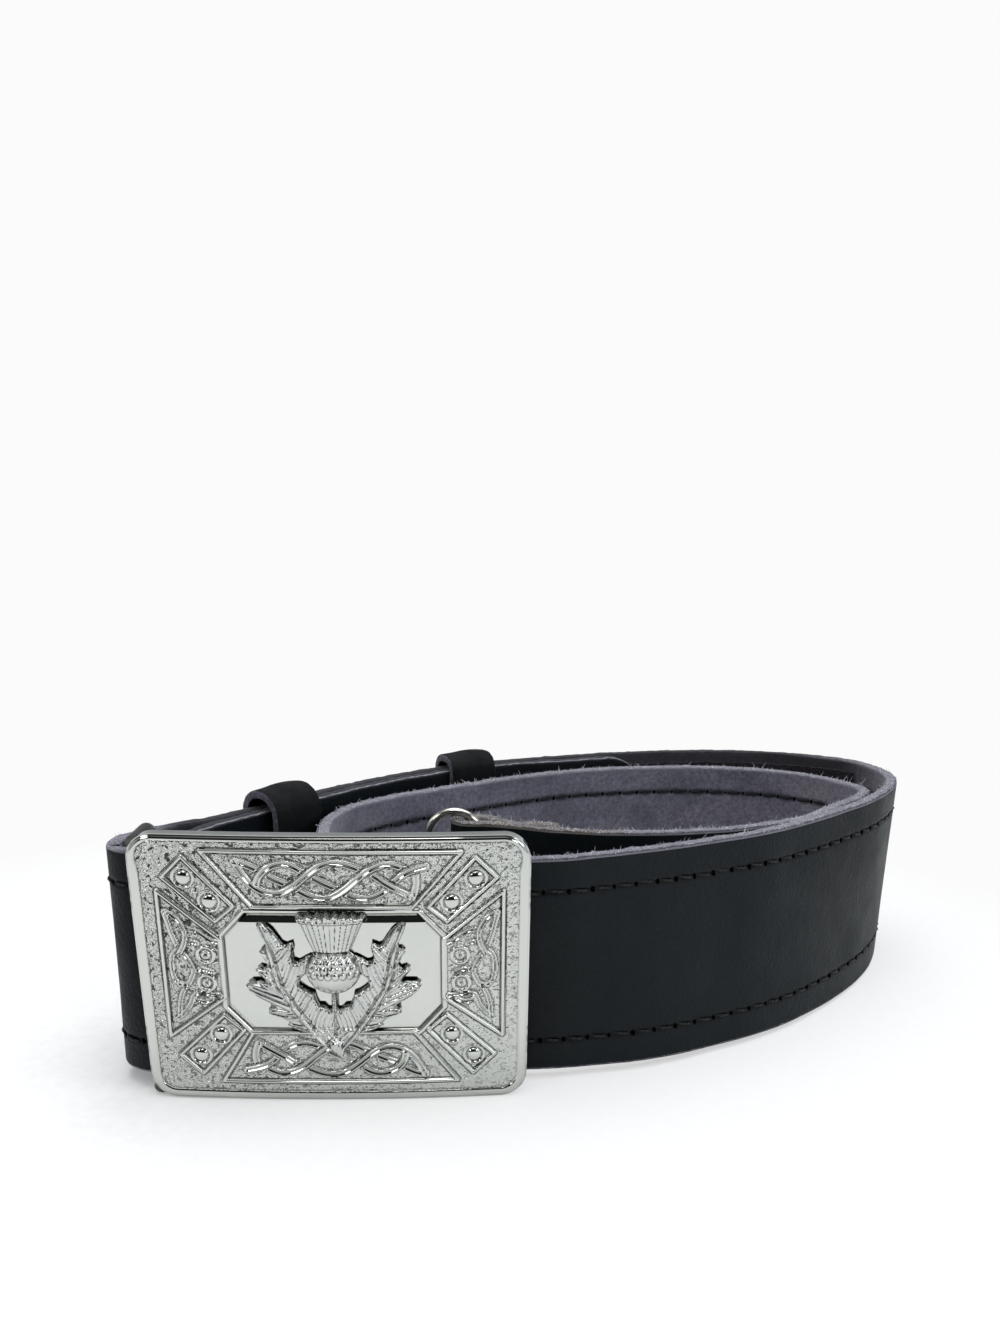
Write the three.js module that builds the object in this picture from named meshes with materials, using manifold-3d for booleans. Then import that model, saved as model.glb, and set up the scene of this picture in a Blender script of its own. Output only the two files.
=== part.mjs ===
// A kilt belt of black leather, coiled in two turns on its edge, with a cast and plated buckle.
// Millimetres, +Z up. The buckle faces -Y and the coil is longest along X.
// The origin is under the middle of the belt, on the surface that it stands on.
import * as THREE from 'three';
import { mergeVertices } from 'three/addons/utils/BufferGeometryUtils.js';
import Module from 'manifold-3d';

const wasm = await Module();
wasm.setup();

// Leather strap
const strapWidth = 57;
const strapThickness = 3.6;
const edgeBevel = 0.5;
const layerGap = 0.3;
const nestGap = 0.6;
const coilLength = 226;
const coilDepth = 150;
const routeSteps = 3;
const nestPasses = 4;

// Buckle plate, with the bar and the hook on its back
const plateWidth = 93;
const plateHeight = 68;
const plateThickness = 3;
const plateBulge = 2.5;
const plateCorner = 6.5;
const plateYaw = THREE.MathUtils.degToRad(1.8);
const plateStandoff = 9;
const reliefHeight = 0.6;
const reliefRoot = 0.6;
const lineWidth = 1;
const windowDepth = 1.5;
const barRadius = 1.8;
const barBack = 15.2;
const barInset = 1.7;
const barClearance = 0.3;
const barEndGap = 0.3;
const barTopInset = 2.8;
const barCorner = 4;
const hookWidth = 8;
const hookLength = 10;
const hookReach = 5;
const hookThickness = 1.6;
const hookInset = 12;
const faceSteps = 20;

// Thistle on the window
const thistleWidth = 42.6;
const thistleHeight = 39;
const thistleThickness = 1.8;
const thistleCrown = 3.9;
const bulbWidth = 15.4;
const bulbHeight = 11.4;
const thistleGap = 0.3;
const pinRadius = 1.3;
const pinSpacing = 7;
const stemThickness = 2.2;
const tuftDepth = 3.7;
const tuftRound = 3.5;
const ribStep = 0.35;
const scaleRadius = 1.1;
const scaleLength = 1.4;
const scaleTilt = 117;

// Fold round the bar, and the straight stretch in front of it
const foldRadius = 8.2;
const foldStraight = 3.4;
const foldLean = 5.4;

// Tail, keepers and tape along the back run, with places measured along the leather from the fold
const keeperWidth = 16;
const keeperWall = 2.4;
const keeperGap = 0.4;
const keeperSlack = 1.8;
const keeperCorner = 1.9;
const keeperNearAt = 71;
const keeperNearSlack = 2.4;
const keeperFarAt = 145;
const tailJoin = 60;
const tailTip = 216;
const tailStep = 13;
const tailBend = { x: 0.42, y: 0.5 };
const tapeThickness = 1;
const tapeWidth = 50;
const tapeStart = 184;
const tapeRamp = 10;
const tapeEnd = 296;
const tapeStep = 6;

// End ring in the folded end of the strap
const ringWire = 2.2;
const ringWidth = 16.6;
const ringGap = 0.9;
const ringChannelGap = 0.35;
const ringOverlap = 5.8;
const foldBack = 24;
const ringSteps = 10;

// How far the strap stands off the ground: in the keepers, on the bar and on the end ring
const keeperLift = keeperWall + keeperGap;
const barLift = 2 * barRadius + barEndGap;
const ringLift = ringWire + ringGap;

// Outer turn from the fold to the back of the buckle. x and y are shares of the coil's length and depth
// from its middle, to the grain face at the foot of the strap. lift is a share of keeperLift. lean is how
// far the top edge stands inside the foot, as a share of the strap's width.
const outerTurn = [
  { x: -0.498, y: -0.335, lift: 1.35, lean: 0 },
  { x: -0.482, y: -0.297, lift: 1.3, lean: 0 },
  { x: -0.457, y: -0.250, lift: 1.2, lean: 0 },
  { x: -0.420, y: -0.196, lift: 1.1, lean: 0 },
  { x: -0.359, y: -0.076, lift: 1.05, lean: 0 },
  { x: -0.303, y: 0.036, lift: 1.05, lean: 0 },
  { x: -0.231, y: 0.152, lift: 1.05, lean: 0 },
  { x: -0.147, y: 0.253, lift: 1.05, lean: 0 },
  { x: -0.064, y: 0.322, lift: 1, lean: 0 },
  { x: 0.043, y: 0.395, lift: 0.9, lean: 0 },
  { x: 0.154, y: 0.461, lift: 0.7, lean: 0 },
  { x: 0.264, y: 0.499, lift: 0.5, lean: 0 },
  { x: 0.353, y: 0.495, lift: 0.4, lean: 0 },
  { x: 0.424, y: 0.467, lift: 0.3, lean: 0 },
  { x: 0.473, y: 0.421, lift: 0.25, lean: 0 },
  { x: 0.496, y: 0.350, lift: 0.2, lean: 0 },
  { x: 0.499, y: 0.273, lift: 0.2, lean: 0 },
  { x: 0.488, y: 0.197, lift: 0.2, lean: 0.01 },
  { x: 0.463, y: 0.104, lift: 0.2, lean: 0.045 },
  { x: 0.430, y: 0.020, lift: 0.2, lean: 0.08 },
  { x: 0.384, y: -0.069, lift: 0.25, lean: 0.117 },
  { x: 0.311, y: -0.181, lift: 0.35, lean: 0.135 },
  { x: 0.248, y: -0.255, lift: 0.45, lean: 0.133 },
  { x: 0.192, y: -0.304, lift: 0.5, lean: 0.13 },
  { x: 0.139, y: -0.347, lift: 0.6, lean: 0.114 },
  { x: 0.089, y: -0.377, lift: 0.7, lean: 0.088 },
  { x: 0.042, y: -0.396, lift: 0.75, lean: 0.049 },
  { x: -0.005, y: -0.411, lift: 0.8, lean: 0.01 },
  { x: -0.046, y: -0.418, lift: 0.8, lean: 0 },
];

// Inner turn from the back of the buckle to the straight end that holds the ring
const innerTurn = [
  { x: -0.105, y: -0.420, lift: 0.6, lean: 0 },
  { x: -0.165, y: -0.416, lift: 0.4, lean: 0 },
  { x: -0.225, y: -0.385, lift: 0.2, lean: 0 },
  { x: -0.272, y: -0.317, lift: 0, lean: 0 },
  { x: -0.294, y: -0.220, lift: 0, lean: 0 },
  { x: -0.296, y: -0.125, lift: 0, lean: 0 },
  { x: -0.278, y: -0.035, lift: 0, lean: 0 },
  { x: -0.226, y: 0.056, lift: 0, lean: 0 },
  { x: -0.149, y: 0.146, lift: 0, lean: 0 },
  { x: -0.064, y: 0.237, lift: 0, lean: 0 },
  { x: 0.030, y: 0.311, lift: 0, lean: 0 },
  { x: 0.133, y: 0.353, lift: 0, lean: 0 },
  { x: 0.234, y: 0.364, lift: 0, lean: 0 },
  { x: 0.322, y: 0.340, lift: 0, lean: 0 },
  { x: 0.384, y: 0.286, lift: 0, lean: 0 },
  { x: 0.423, y: 0.218, lift: 0, lean: 0 },
  { x: 0.437, y: 0.150, lift: 0, lean: 0 },
  { x: 0.424, y: 0.072, lift: 0, lean: 0 },
  { x: 0.384, y: -0.004, lift: 0, lean: 0 },
  { x: 0.318, y: -0.086, lift: 0, lean: 0 },
  { x: 0.252, y: -0.140, lift: 0, lean: 0 },
  { x: 0.199, y: -0.174, lift: 0, lean: 0 },
  { x: 0.125, y: -0.200, lift: 0, lean: 0 },
  { x: 0.053, y: -0.213, lift: 0.1, lean: 0 },
];

// Last free stretch of the strap, up to the ring: lift is a share of ringLift here
const ringReach = [
  { x: -0.018, y: -0.224, lift: 0.45, lean: 0 },
  { x: -0.062, y: -0.232, lift: 0.85, lean: 0 },
];
const ringPlace = { x: -0.1315 };

// Rounded tip of the tail: how far the edges stand in, at each distance from the tip
const tailEnd = [
  { along: 0, inset: 0.3 },
  { along: 0.05, inset: 0.19 },
  { along: 0.14, inset: 0.07 },
  { along: 0.25, inset: 0 },
];

const leather = new THREE.MeshStandardMaterial({ color: 0x1f2527, roughness: 0.55 });
const keeperLeather = new THREE.MeshStandardMaterial({ color: 0x15191b, roughness: 0.6 });
const tapePile = new THREE.MeshStandardMaterial({ color: 0x37343a, roughness: 0.95 });
const chrome = new THREE.MeshStandardMaterial({ color: 0xc9cccc, roughness: 0.15, metalness: 1 });
const nickel = new THREE.MeshStandardMaterial({ color: 0xb9bab6, roughness: 0.2, metalness: 1 });

// Meshes and solids

function toSolid(geometry) {
  const bare = geometry.index ? geometry.toNonIndexed() : geometry.clone();
  bare.deleteAttribute('normal');
  bare.deleteAttribute('uv');
  const merged = mergeVertices(bare, 1e-4);
  return new wasm.Manifold(new wasm.Mesh({
    numProp: 3,
    vertProperties: new Float32Array(merged.attributes.position.array),
    triVerts: new Uint32Array(merged.index.array),
  }));
}

function toGeometry(solid) {
  const mesh = solid.getMesh();
  const geometry = new THREE.BufferGeometry();
  geometry.setAttribute('position', new THREE.BufferAttribute(new Float32Array(mesh.vertProperties), 3));
  geometry.setIndex(new THREE.BufferAttribute(new Uint32Array(mesh.triVerts), 1));
  geometry.computeVertexNormals();
  return geometry;
}

function join(solids) {
  return solids.reduce((whole, piece) => whole.add(piece));
}

function pieceMesh(name, geometry, material) {
  const mesh = new THREE.Mesh(geometry, material);
  mesh.name = name;
  return mesh;
}

function extrude(shape, depth, curveSegments = 6) {
  return new THREE.ExtrudeGeometry(shape, { depth, bevelEnabled: false, curveSegments });
}

// A closed body through rings of equal length. A closed run of rings has no end caps.
function loft(rings, closed = false) {
  const sides = rings[0].length;
  const positions = rings.flat().flatMap((point) => [point.x, point.y, point.z]);
  const faces = [];
  const last = closed ? rings.length : rings.length - 1;
  for (let ring = 0; ring < last; ring += 1) {
    const next = (ring + 1) % rings.length;
    for (let side = 0; side < sides; side += 1) {
      const other = (side + 1) % sides;
      const a = ring * sides + side;
      const b = ring * sides + other;
      const c = next * sides + other;
      const d = next * sides + side;
      faces.push(a, b, c, a, c, d);
    }
  }
  if (!closed) {
    const end = (rings.length - 1) * sides;
    for (let side = 1; side < sides - 1; side += 1) {
      faces.push(0, side + 1, side);
      faces.push(end, end + side, end + side + 1);
    }
  }
  const geometry = new THREE.BufferGeometry();
  geometry.setAttribute('position', new THREE.Float32BufferAttribute(positions, 3));
  geometry.setIndex(faces);
  geometry.computeVertexNormals();
  return geometry;
}

// Places on the buckle: across and up from the middle of its foot, back from the chord of its face. The
// plate stands off the front of the coil, and the fold round its bar reaches the coil's end.

const foldReach = foldRadius + foldStraight;
const plateMiddle = foldReach - coilLength / 2 + plateWidth / 2 - barInset;
const plateFront = innerTurn[0].y * coilDepth - plateStandoff;

function fromPlate(across, back) {
  const cos = Math.cos(plateYaw);
  const sin = Math.sin(plateYaw);
  return {
    x: plateMiddle + across * cos - back * sin,
    y: plateFront + across * sin + back * cos,
  };
}

const bar = fromPlate(barInset - plateWidth / 2, barBack);

// The strap's route, as a run of stations on its grain face. Each station has its place, its lift in
// millimetres and its lean in millimetres.

function tableStations(rows, liftSize) {
  return rows.map((row) => ({
    x: row.x * coilLength,
    y: row.y * coilDepth,
    lift: row.lift * liftSize,
    lean: row.lean * strapWidth,
  }));
}

// Stations on an arc, from one compass angle to another in degrees, at equal steps. The radius is that
// of the top edge, and the foot stands outside it by the lean, which changes evenly along the arc.
function arcStations(centre, radius, from, to, steps, lift, leanFrom = 0, leanTo = 0) {
  const stations = [];
  for (let step = 0; step <= steps; step += 1) {
    const angle = THREE.MathUtils.degToRad(from + (to - from) * step / steps);
    const lean = leanFrom + (leanTo - leanFrom) * step / steps;
    stations.push({
      x: centre.x + (radius + lean) * Math.cos(angle),
      y: centre.y + (radius + lean) * Math.sin(angle),
      lift,
      lean,
    });
  }
  return stations;
}

// A smooth run through stations, with a number of steps between each two
function smoothRun(stations, steps) {
  const places = stations.map((station) => new THREE.Vector3(station.x, station.y, 0));
  const shapes = stations.map((station) => new THREE.Vector3(station.lift, station.lean, 0));
  const placeCurve = new THREE.CatmullRomCurve3(places, false, 'centripetal');
  const shapeCurve = new THREE.CatmullRomCurve3(shapes, false, 'catmullrom', 0.3);
  const count = (stations.length - 1) * steps;
  const run = [];
  for (let step = 0; step <= count; step += 1) {
    const place = placeCurve.getPoint(step / count);
    const shape = shapeCurve.getPoint(step / count);
    run.push({ x: place.x, y: place.y, lift: Math.max(shape.x, 0), lean: Math.max(shape.y, 0) });
  }
  return run;
}

// Distance along the run up to each station, and the direction and inward normal there
function measureRun(run) {
  let along = 0;
  run.forEach((station, index) => {
    const before = run[Math.max(index - 1, 0)];
    const after = run[Math.min(index + 1, run.length - 1)];
    if (index > 0) {
      along += Math.hypot(station.x - before.x, station.y - before.y);
    }
    const length = Math.hypot(after.x - before.x, after.y - before.y);
    station.along = along;
    station.tx = (after.x - before.x) / length;
    station.ty = (after.y - before.y) / length;
    station.nx = station.ty;
    station.ny = -station.tx;
  });
  return run;
}

function stationAt(run, along) {
  const index = Math.max(run.findIndex((station) => station.along >= along), 1);
  const before = run[index - 1];
  const after = run[index];
  const share = (along - before.along) / (after.along - before.along);
  const mixed = {};
  for (const key of ['x', 'y', 'lift', 'lean', 'tx', 'ty', 'nx', 'ny']) {
    mixed[key] = before[key] + (after[key] - before[key]) * share;
  }
  mixed.along = along;
  return mixed;
}

function offsetStation(station, inward) {
  return {
    x: station.x + station.nx * inward,
    y: station.y + station.ny * inward,
    lift: station.lift,
    lean: station.lean,
  };
}

// Pushes a station of the inner turn off the outer run, foot and top edge, until the leather is clear
function nest(station, outer) {
  const clear = strapThickness + nestGap;
  const placed = { ...station };
  for (let pass = 0; pass < nestPasses; pass += 1) {
    for (const wall of outer) {
      for (const lean of [0, wall.lean]) {
        const wallX = wall.x + wall.nx * lean;
        const wallY = wall.y + wall.ny * lean;
        const gap = Math.hypot(placed.x - wallX, placed.y - wallY);
        if (gap < clear) {
          placed.x += wall.nx * (clear - gap);
          placed.y += wall.ny * (clear - gap);
        }
      }
    }
  }
  return placed;
}

const foldCentre = {
  x: bar.x - foldStraight,
  y: bar.y - barRadius - barClearance - strapThickness + foldRadius,
};
const wrapRadius = barRadius + barClearance + strapThickness;

function outerStations() {
  const fold = arcStations(foldCentre, foldRadius, -90, -180, 3, barLift, foldLean, 0);
  return [...fold, ...tableStations(outerTurn, keeperLift)];
}

const outerRun = measureRun(smoothRun(outerStations(), routeSteps));

// The tail lies against the inner face of the outer run, and climbs over the tape near its tip. At its
// other end it bends away to the bar, at tailBend's shares of the way back from the bar.
function tailOffset(along) {
  const climb = THREE.MathUtils.smoothstep(along, tapeStart - 1.5 * tapeRamp, tapeStart - tapeRamp / 2);
  return 2 * strapThickness + layerGap + climb * (tapeThickness + layerGap);
}

function tailStations() {
  const stations = [];
  const steps = Math.round((tailTip - tailJoin) / tailStep);
  for (let step = 0; step <= steps; step += 1) {
    const along = tailTip + (tailJoin - tailTip) * step / steps;
    stations.push(offsetStation(stationAt(outerRun, along), tailOffset(along)));
  }
  const leaving = stations[stations.length - 1];
  const arriving = { x: bar.x + wrapRadius, y: bar.y + wrapRadius };
  stations.push({
    x: arriving.x + (leaving.x - arriving.x) * tailBend.x,
    y: arriving.y + (leaving.y - arriving.y) * tailBend.y,
    lift: (leaving.lift + barLift) / 2,
    lean: 0,
  });
  stations.push({ ...arriving, lift: barLift, lean: 0 });
  return stations;
}

const innerStations = tableStations(innerTurn, keeperLift).map((station) => nest(station, outerRun));

// The end of the strap goes round the ring's wire and lies back on its own suede side
const channelRadius = ringWire / 2 + ringChannelGap;
const ringX = ringPlace.x * coilLength;
const ringBend = ringX + ringWidth / 2 - ringOverlap;

function endStations() {
  const reach = tableStations(ringReach, ringLift);
  const front = reach[1].y;
  const centre = { x: ringBend + channelRadius, y: front + strapThickness + channelRadius };
  const across = strapThickness + channelRadius;
  const bend = arcStations(centre, across, -90, -270, 6, ringLift);
  const mouth = ringX + ringWidth / 2 + layerGap;
  const entry = { x: mouth, y: centre.y - across, lift: ringLift, lean: 0 };
  const exit = { x: mouth, y: centre.y + across, lift: ringLift, lean: 0 };
  const slope = (reach[0].y - reach[1].y) / (reach[0].x - reach[1].x);
  const doubled = 2 * strapThickness + layerGap;
  const back = [0.5, 0.75, 1].map((share) => {
    const x = centre.x + foldBack * share;
    const y = front + (x - reach[1].x) * slope + doubled;
    return { x, y, lift: ringLift + (reach[0].lift - ringLift) * share, lean: 0 };
  });
  return { stations: [...reach, entry, ...bend, exit, ...back], centre };
}

const ringEnd = endStations();

function strapStations() {
  const wrap = arcStations(bar, wrapRadius, 0, -90, 3, barLift, 0, foldLean);
  return [
    ...tailStations(),
    ...wrap,
    ...outerStations(),
    ...innerStations,
    ...ringEnd.stations,
  ];
}

// One ring of a flat band: the distance in from the grain face and the height, with bevelled edges
function bandSection(inner, outer, low, high, bevel) {
  return [
    [inner, low + bevel],
    [inner, high - bevel],
    [inner + bevel, high],
    [outer - bevel, high],
    [outer, high - bevel],
    [outer, low + bevel],
    [outer - bevel, low],
    [inner + bevel, low],
  ];
}

function sectionRing(station, section) {
  const rise = Math.sqrt(1 - (station.lean / strapWidth) ** 2);
  return section.map(([inward, height]) => {
    const shift = inward + station.lean * height / strapWidth;
    return new THREE.Vector3(
      station.x + station.nx * shift,
      station.y + station.ny * shift,
      station.lift + height * rise,
    );
  });
}

function tipInset(along) {
  for (let row = 1; row < tailEnd.length; row += 1) {
    const before = tailEnd[row - 1];
    const after = tailEnd[row];
    const end = after.along * strapWidth;
    if (along < end) {
      const share = (along - before.along * strapWidth) / (end - before.along * strapWidth);
      return (before.inset + (after.inset - before.inset) * share) * strapWidth;
    }
  }
  return 0;
}

function makeStrap() {
  const run = measureRun(smoothRun(strapStations(), routeSteps));
  const rings = run.map((station) => {
    const inset = tipInset(station.along);
    const section = bandSection(0, strapThickness, inset, strapWidth - inset, edgeBevel);
    return sectionRing(station, section);
  });
  return pieceMesh('strap', loft(rings), leather);
}

function makeTape() {
  const inner = strapThickness + layerGap;
  const low = (strapWidth - tapeWidth) / 2;
  const section = bandSection(inner, inner + tapeThickness, low, low + tapeWidth, tapeThickness / 4);
  const steps = Math.round((tapeEnd - tapeStart) / tapeStep);
  const rings = [];
  for (let step = 0; step <= steps; step += 1) {
    const along = tapeStart + (tapeEnd - tapeStart) * step / steps;
    rings.push(sectionRing(stationAt(outerRun, along), section));
  }
  return pieceMesh('loop_tape', loft(rings), tapePile);
}

// A rectangle with round corners, as a shape or as a hole's path
function roundedOutline(Kind, left, low, right, high, radius, topRadius = radius) {
  const outline = new Kind();
  outline.moveTo(left + radius, low);
  outline.lineTo(right - radius, low);
  outline.absarc(right - radius, low + radius, radius, -Math.PI / 2, 0);
  outline.lineTo(right, high - topRadius);
  outline.absarc(right - topRadius, high - topRadius, topRadius, 0, Math.PI / 2);
  outline.lineTo(left + topRadius, high);
  outline.absarc(left + topRadius, high - topRadius, topRadius, Math.PI / 2, Math.PI);
  outline.lineTo(left, low + radius);
  outline.absarc(left + radius, low + radius, radius, Math.PI, Math.PI * 1.5);
  return outline;
}

function makeKeeper(name, along, slack) {
  const station = stationAt(outerRun, along);
  const stack = 2 * strapThickness + layerGap;
  const inside = {
    left: -keeperGap,
    right: stack + keeperGap + slack,
    low: keeperWall,
    high: station.lift + strapWidth + keeperSlack,
  };
  const shape = roundedOutline(
    THREE.Shape,
    inside.left - keeperWall,
    0,
    inside.right + keeperWall,
    inside.high + keeperWall,
    keeperWall,
    keeperCorner + keeperWall,
  );
  shape.holes.push(roundedOutline(
    THREE.Path, inside.left, inside.low, inside.right, inside.high, keeperGap, keeperCorner,
  ));
  const geometry = extrude(shape, keeperWidth, 4);
  geometry.translate(0, 0, -keeperWidth / 2);
  const frame = new THREE.Matrix4().makeBasis(
    new THREE.Vector3(station.nx, station.ny, 0),
    new THREE.Vector3(0, 0, 1),
    new THREE.Vector3(-station.tx, -station.ty, 0),
  );
  const mesh = pieceMesh(name, geometry, keeperLeather);
  mesh.quaternion.setFromRotationMatrix(frame);
  mesh.position.set(station.x, station.y, 0);
  return mesh;
}

// A round wire through points, with frames that turn with the path in one plane
function wireBody(points, planeNormal, radius, sides, closed) {
  const count = points.length;
  const rings = points.map((point, index) => {
    const before = closed ? points[(index + count - 1) % count] : points[Math.max(index - 1, 0)];
    const after = closed ? points[(index + 1) % count] : points[Math.min(index + 1, count - 1)];
    const way = after.clone().sub(before).normalize();
    const side = new THREE.Vector3().crossVectors(planeNormal, way).normalize();
    const ring = [];
    for (let step = 0; step < sides; step += 1) {
      const angle = 2 * Math.PI * step / sides;
      ring.push(point.clone()
        .addScaledVector(side, radius * Math.cos(angle))
        .addScaledVector(planeNormal, radius * Math.sin(angle)));
    }
    return ring;
  });
  return loft(rings, closed);
}

function makeRing() {
  const wireRadius = ringWire / 2;
  const bendRadius = ringWidth / 2 - wireRadius;
  const height = strapWidth + 2 * ringLift;
  const y = ringEnd.centre.y;
  const points = [];
  for (const [middle, from] of [[height - ringWidth / 2, 0], [ringWidth / 2, Math.PI]]) {
    for (let step = 0; step <= ringSteps; step += 1) {
      const angle = from + Math.PI * step / ringSteps;
      points.push(new THREE.Vector3(
        ringX + bendRadius * Math.cos(angle), y, middle + bendRadius * Math.sin(angle),
      ));
    }
  }
  const geometry = wireBody(points, new THREE.Vector3(0, 1, 0), wireRadius, 8, true);
  return pieceMesh('end_ring', geometry, nickel);
}

// Buckle, in its own frame: x across, -y out of the face, z up from its foot

function faceDepth(across) {
  const share = 2 * across / plateWidth;
  return plateBulge * (share * share - 1);
}

// The layer of the curved plate between two heights over its face
function faceLayer(low, high) {
  const outline = [];
  for (let step = 0; step <= faceSteps; step += 1) {
    const across = plateWidth * (step / faceSteps - 0.5);
    outline.push([across, faceDepth(across) - high]);
    outline.unshift([across, faceDepth(across) - low]);
  }
  return toSolid(extrude(pointsShape(outline), plateHeight));
}

// A block that stands out of the face over a flat outline, with the outline's y measured up from the
// middle of the plate
function facePrism(shape) {
  const depth = 6 * plateThickness;
  const geometry = extrude(shape, depth);
  geometry.rotateX(Math.PI / 2);
  geometry.translate(0, depth / 2, plateHeight / 2);
  return toSolid(geometry);
}

function pointsShape(points) {
  return new THREE.Shape(points.map(([x, y]) => new THREE.Vector2(x, y)));
}

// A closed line of even width along straight sides, as an outline with a hole
function frameShape(corners, width) {
  const vectors = corners.map(([x, y]) => new THREE.Vector2(x, y));
  const points = THREE.ShapeUtils.area(vectors) > 0 ? vectors : vectors.reverse();
  const inner = points.map((point, index) => {
    const before = points[(index + points.length - 1) % points.length];
    const after = points[(index + 1) % points.length];
    const arriving = point.clone().sub(before).normalize();
    const leaving = after.clone().sub(point).normalize();
    const inward = new THREE.Vector2(-arriving.y - leaving.y, arriving.x + leaving.x).normalize();
    const reach = width / inward.dot(new THREE.Vector2(-arriving.y, arriving.x));
    return point.clone().addScaledVector(inward, reach);
  });
  const shape = new THREE.Shape(points);
  shape.holes.push(new THREE.Path(inner));
  return shape;
}

// An open band of even width along a curved line, given by a function of a share from 0 to 1
function bandShape(line, width, steps) {
  const left = [];
  const right = [];
  for (let step = 0; step <= steps; step += 1) {
    const share = step / steps;
    const [x, y] = line(share);
    const [ax, ay] = line(Math.max(share - 0.01, 0));
    const [bx, by] = line(Math.min(share + 0.01, 1));
    const length = Math.hypot(bx - ax, by - ay);
    const nx = -(by - ay) / length * width / 2;
    const ny = (bx - ax) / length * width / 2;
    left.push([x + nx, y + ny]);
    right.unshift([x - nx, y - ny]);
  }
  return pointsShape([...left, ...right]);
}

function circlePoints(x, y, radius, sides) {
  const points = [];
  for (let side = 0; side < sides; side += 1) {
    const angle = 2 * Math.PI * side / sides;
    points.push([x + radius * Math.cos(angle), y + radius * Math.sin(angle)]);
  }
  return points;
}

function circleShape(x, y, radius, sides) {
  return pointsShape(circlePoints(x, y, radius, sides));
}

function circleLine(x, y, radius, width, sides) {
  const shape = circleShape(x, y, radius, sides);
  shape.holes.push(pointsShape(circlePoints(x, y, radius - width, sides).reverse()));
  return shape;
}

// Ornament of the face: places and reaches as shares of half the plate's width and height. Each panel
// tapers from an outer side to an inner side, and is given by one end of each.
const longPanel = { outerX: 0.655, outerY: 0.875, innerX: 0.415, innerY: 0.475 };
const sidePanel = { outerX: 0.885, outerY: 0.56, innerX: 0.59, innerY: 0.22 };
const windowPanel = { longX: 0.43, longY: 0.44, sideX: 0.55, sideY: 0.26 };
const cornerPanel = { x: 0.671, y: 0.595, length: 15.5, width: 5.6, turn: 49 };
const bosses = [
  { x: 0.735, y: 0.69 },
  { x: 0.615, y: 0.5 },
];
const bossRadius = 1.3;
const bossRing = 2.6;
const bossHeight = 1.1;
const braid = { middle: 0.66, swing: 0.125, reach: 0.48, waves: 2, steps: 26 };
const sideKnot = { middle: 0.79, swing: 0.055, reach: 0.4, waves: 2, steps: 16 };
const knotTaper = 0.18;
const braidWidth = 1.3;
const spirals = { x: 0.665, y: 0.1, radius: 2.7 };

const halfWidth = plateWidth / 2;
const halfHeight = plateHeight / 2;

function onPlate(points, flipX = 1, flipY = 1) {
  const placed = points.map(([x, y]) => [x * flipX * halfWidth, y * flipY * halfHeight]);
  return flipX * flipY > 0 ? placed : placed.reverse();
}

// Corners of the panels over the middle of the plate, and on its +x side
function longCorners() {
  const { outerX, outerY, innerX, innerY } = longPanel;
  return [[-outerX, outerY], [outerX, outerY], [innerX, innerY], [-innerX, innerY]];
}

function sideCorners() {
  const { outerX, outerY, innerX, innerY } = sidePanel;
  return [[outerX, outerY], [outerX, -outerY], [innerX, -innerY], [innerX, innerY]];
}

function windowCorners() {
  const { longX, longY, sideX, sideY } = windowPanel;
  const right = [[longX, longY], [sideX, sideY], [sideX, -sideY], [longX, -longY]];
  const left = right.map(([x, y]) => [-x, y]).reverse();
  return [...right, ...left];
}

// The corner panel is a turned rectangle, with its length and width in millimetres
function cornerCorners() {
  const along = new THREE.Vector2(cornerPanel.length / 2, 0);
  const aside = new THREE.Vector2(0, cornerPanel.width / 2);
  const middle = new THREE.Vector2();
  const turn = THREE.MathUtils.degToRad(cornerPanel.turn);
  along.rotateAround(middle, turn);
  aside.rotateAround(middle, turn);
  return [[1, 1], [-1, 1], [-1, -1], [1, -1]].map(([a, b]) => [
    cornerPanel.x + (along.x * a + aside.x * b) / halfWidth,
    cornerPanel.y + (along.y * a + aside.y * b) / halfHeight,
  ]);
}

// How far a strand of a knot stands off its middle line, at a share of its length
function knotSwing(knot, share, phase) {
  const taper = Math.min(share, 1 - share, knotTaper) / knotTaper;
  return knot.swing * taper * Math.sin(2 * Math.PI * knot.waves * share + phase);
}

function braidLine(flipY, phase) {
  return (share) => {
    const across = (share * 2 - 1) * braid.reach;
    const up = braid.middle + knotSwing(braid, share, phase);
    return [across * halfWidth, up * flipY * halfHeight];
  };
}

function sideLine(flipX, phase) {
  return (share) => {
    const up = (share * 2 - 1) * sideKnot.reach;
    const across = sideKnot.middle + knotSwing(sideKnot, share, phase);
    return [across * flipX * halfWidth, up * halfHeight];
  };
}

function ornamentShapes() {
  const shapes = [];
  for (const flip of [1, -1]) {
    shapes.push(frameShape(onPlate(longCorners(), 1, flip), lineWidth));
    shapes.push(frameShape(onPlate(sideCorners(), flip, 1), lineWidth));
    for (const phase of [0, Math.PI]) {
      shapes.push(bandShape(braidLine(flip, phase), braidWidth, braid.steps));
      shapes.push(bandShape(sideLine(flip, phase), lineWidth, sideKnot.steps));
    }
    for (const up of [1, -1]) {
      const x = spirals.x * flip * halfWidth;
      const y = spirals.y * up * halfHeight;
      shapes.push(circleLine(x, y, spirals.radius, lineWidth, 14));
      shapes.push(frameShape(onPlate(cornerCorners(), flip, up), lineWidth));
      for (const boss of bosses) {
        const bossX = boss.x * flip * halfWidth;
        const bossY = boss.y * up * halfHeight;
        shapes.push(circleLine(bossX, bossY, bossRing, lineWidth / 2, 12));
      }
    }
  }
  return shapes;
}

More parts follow.
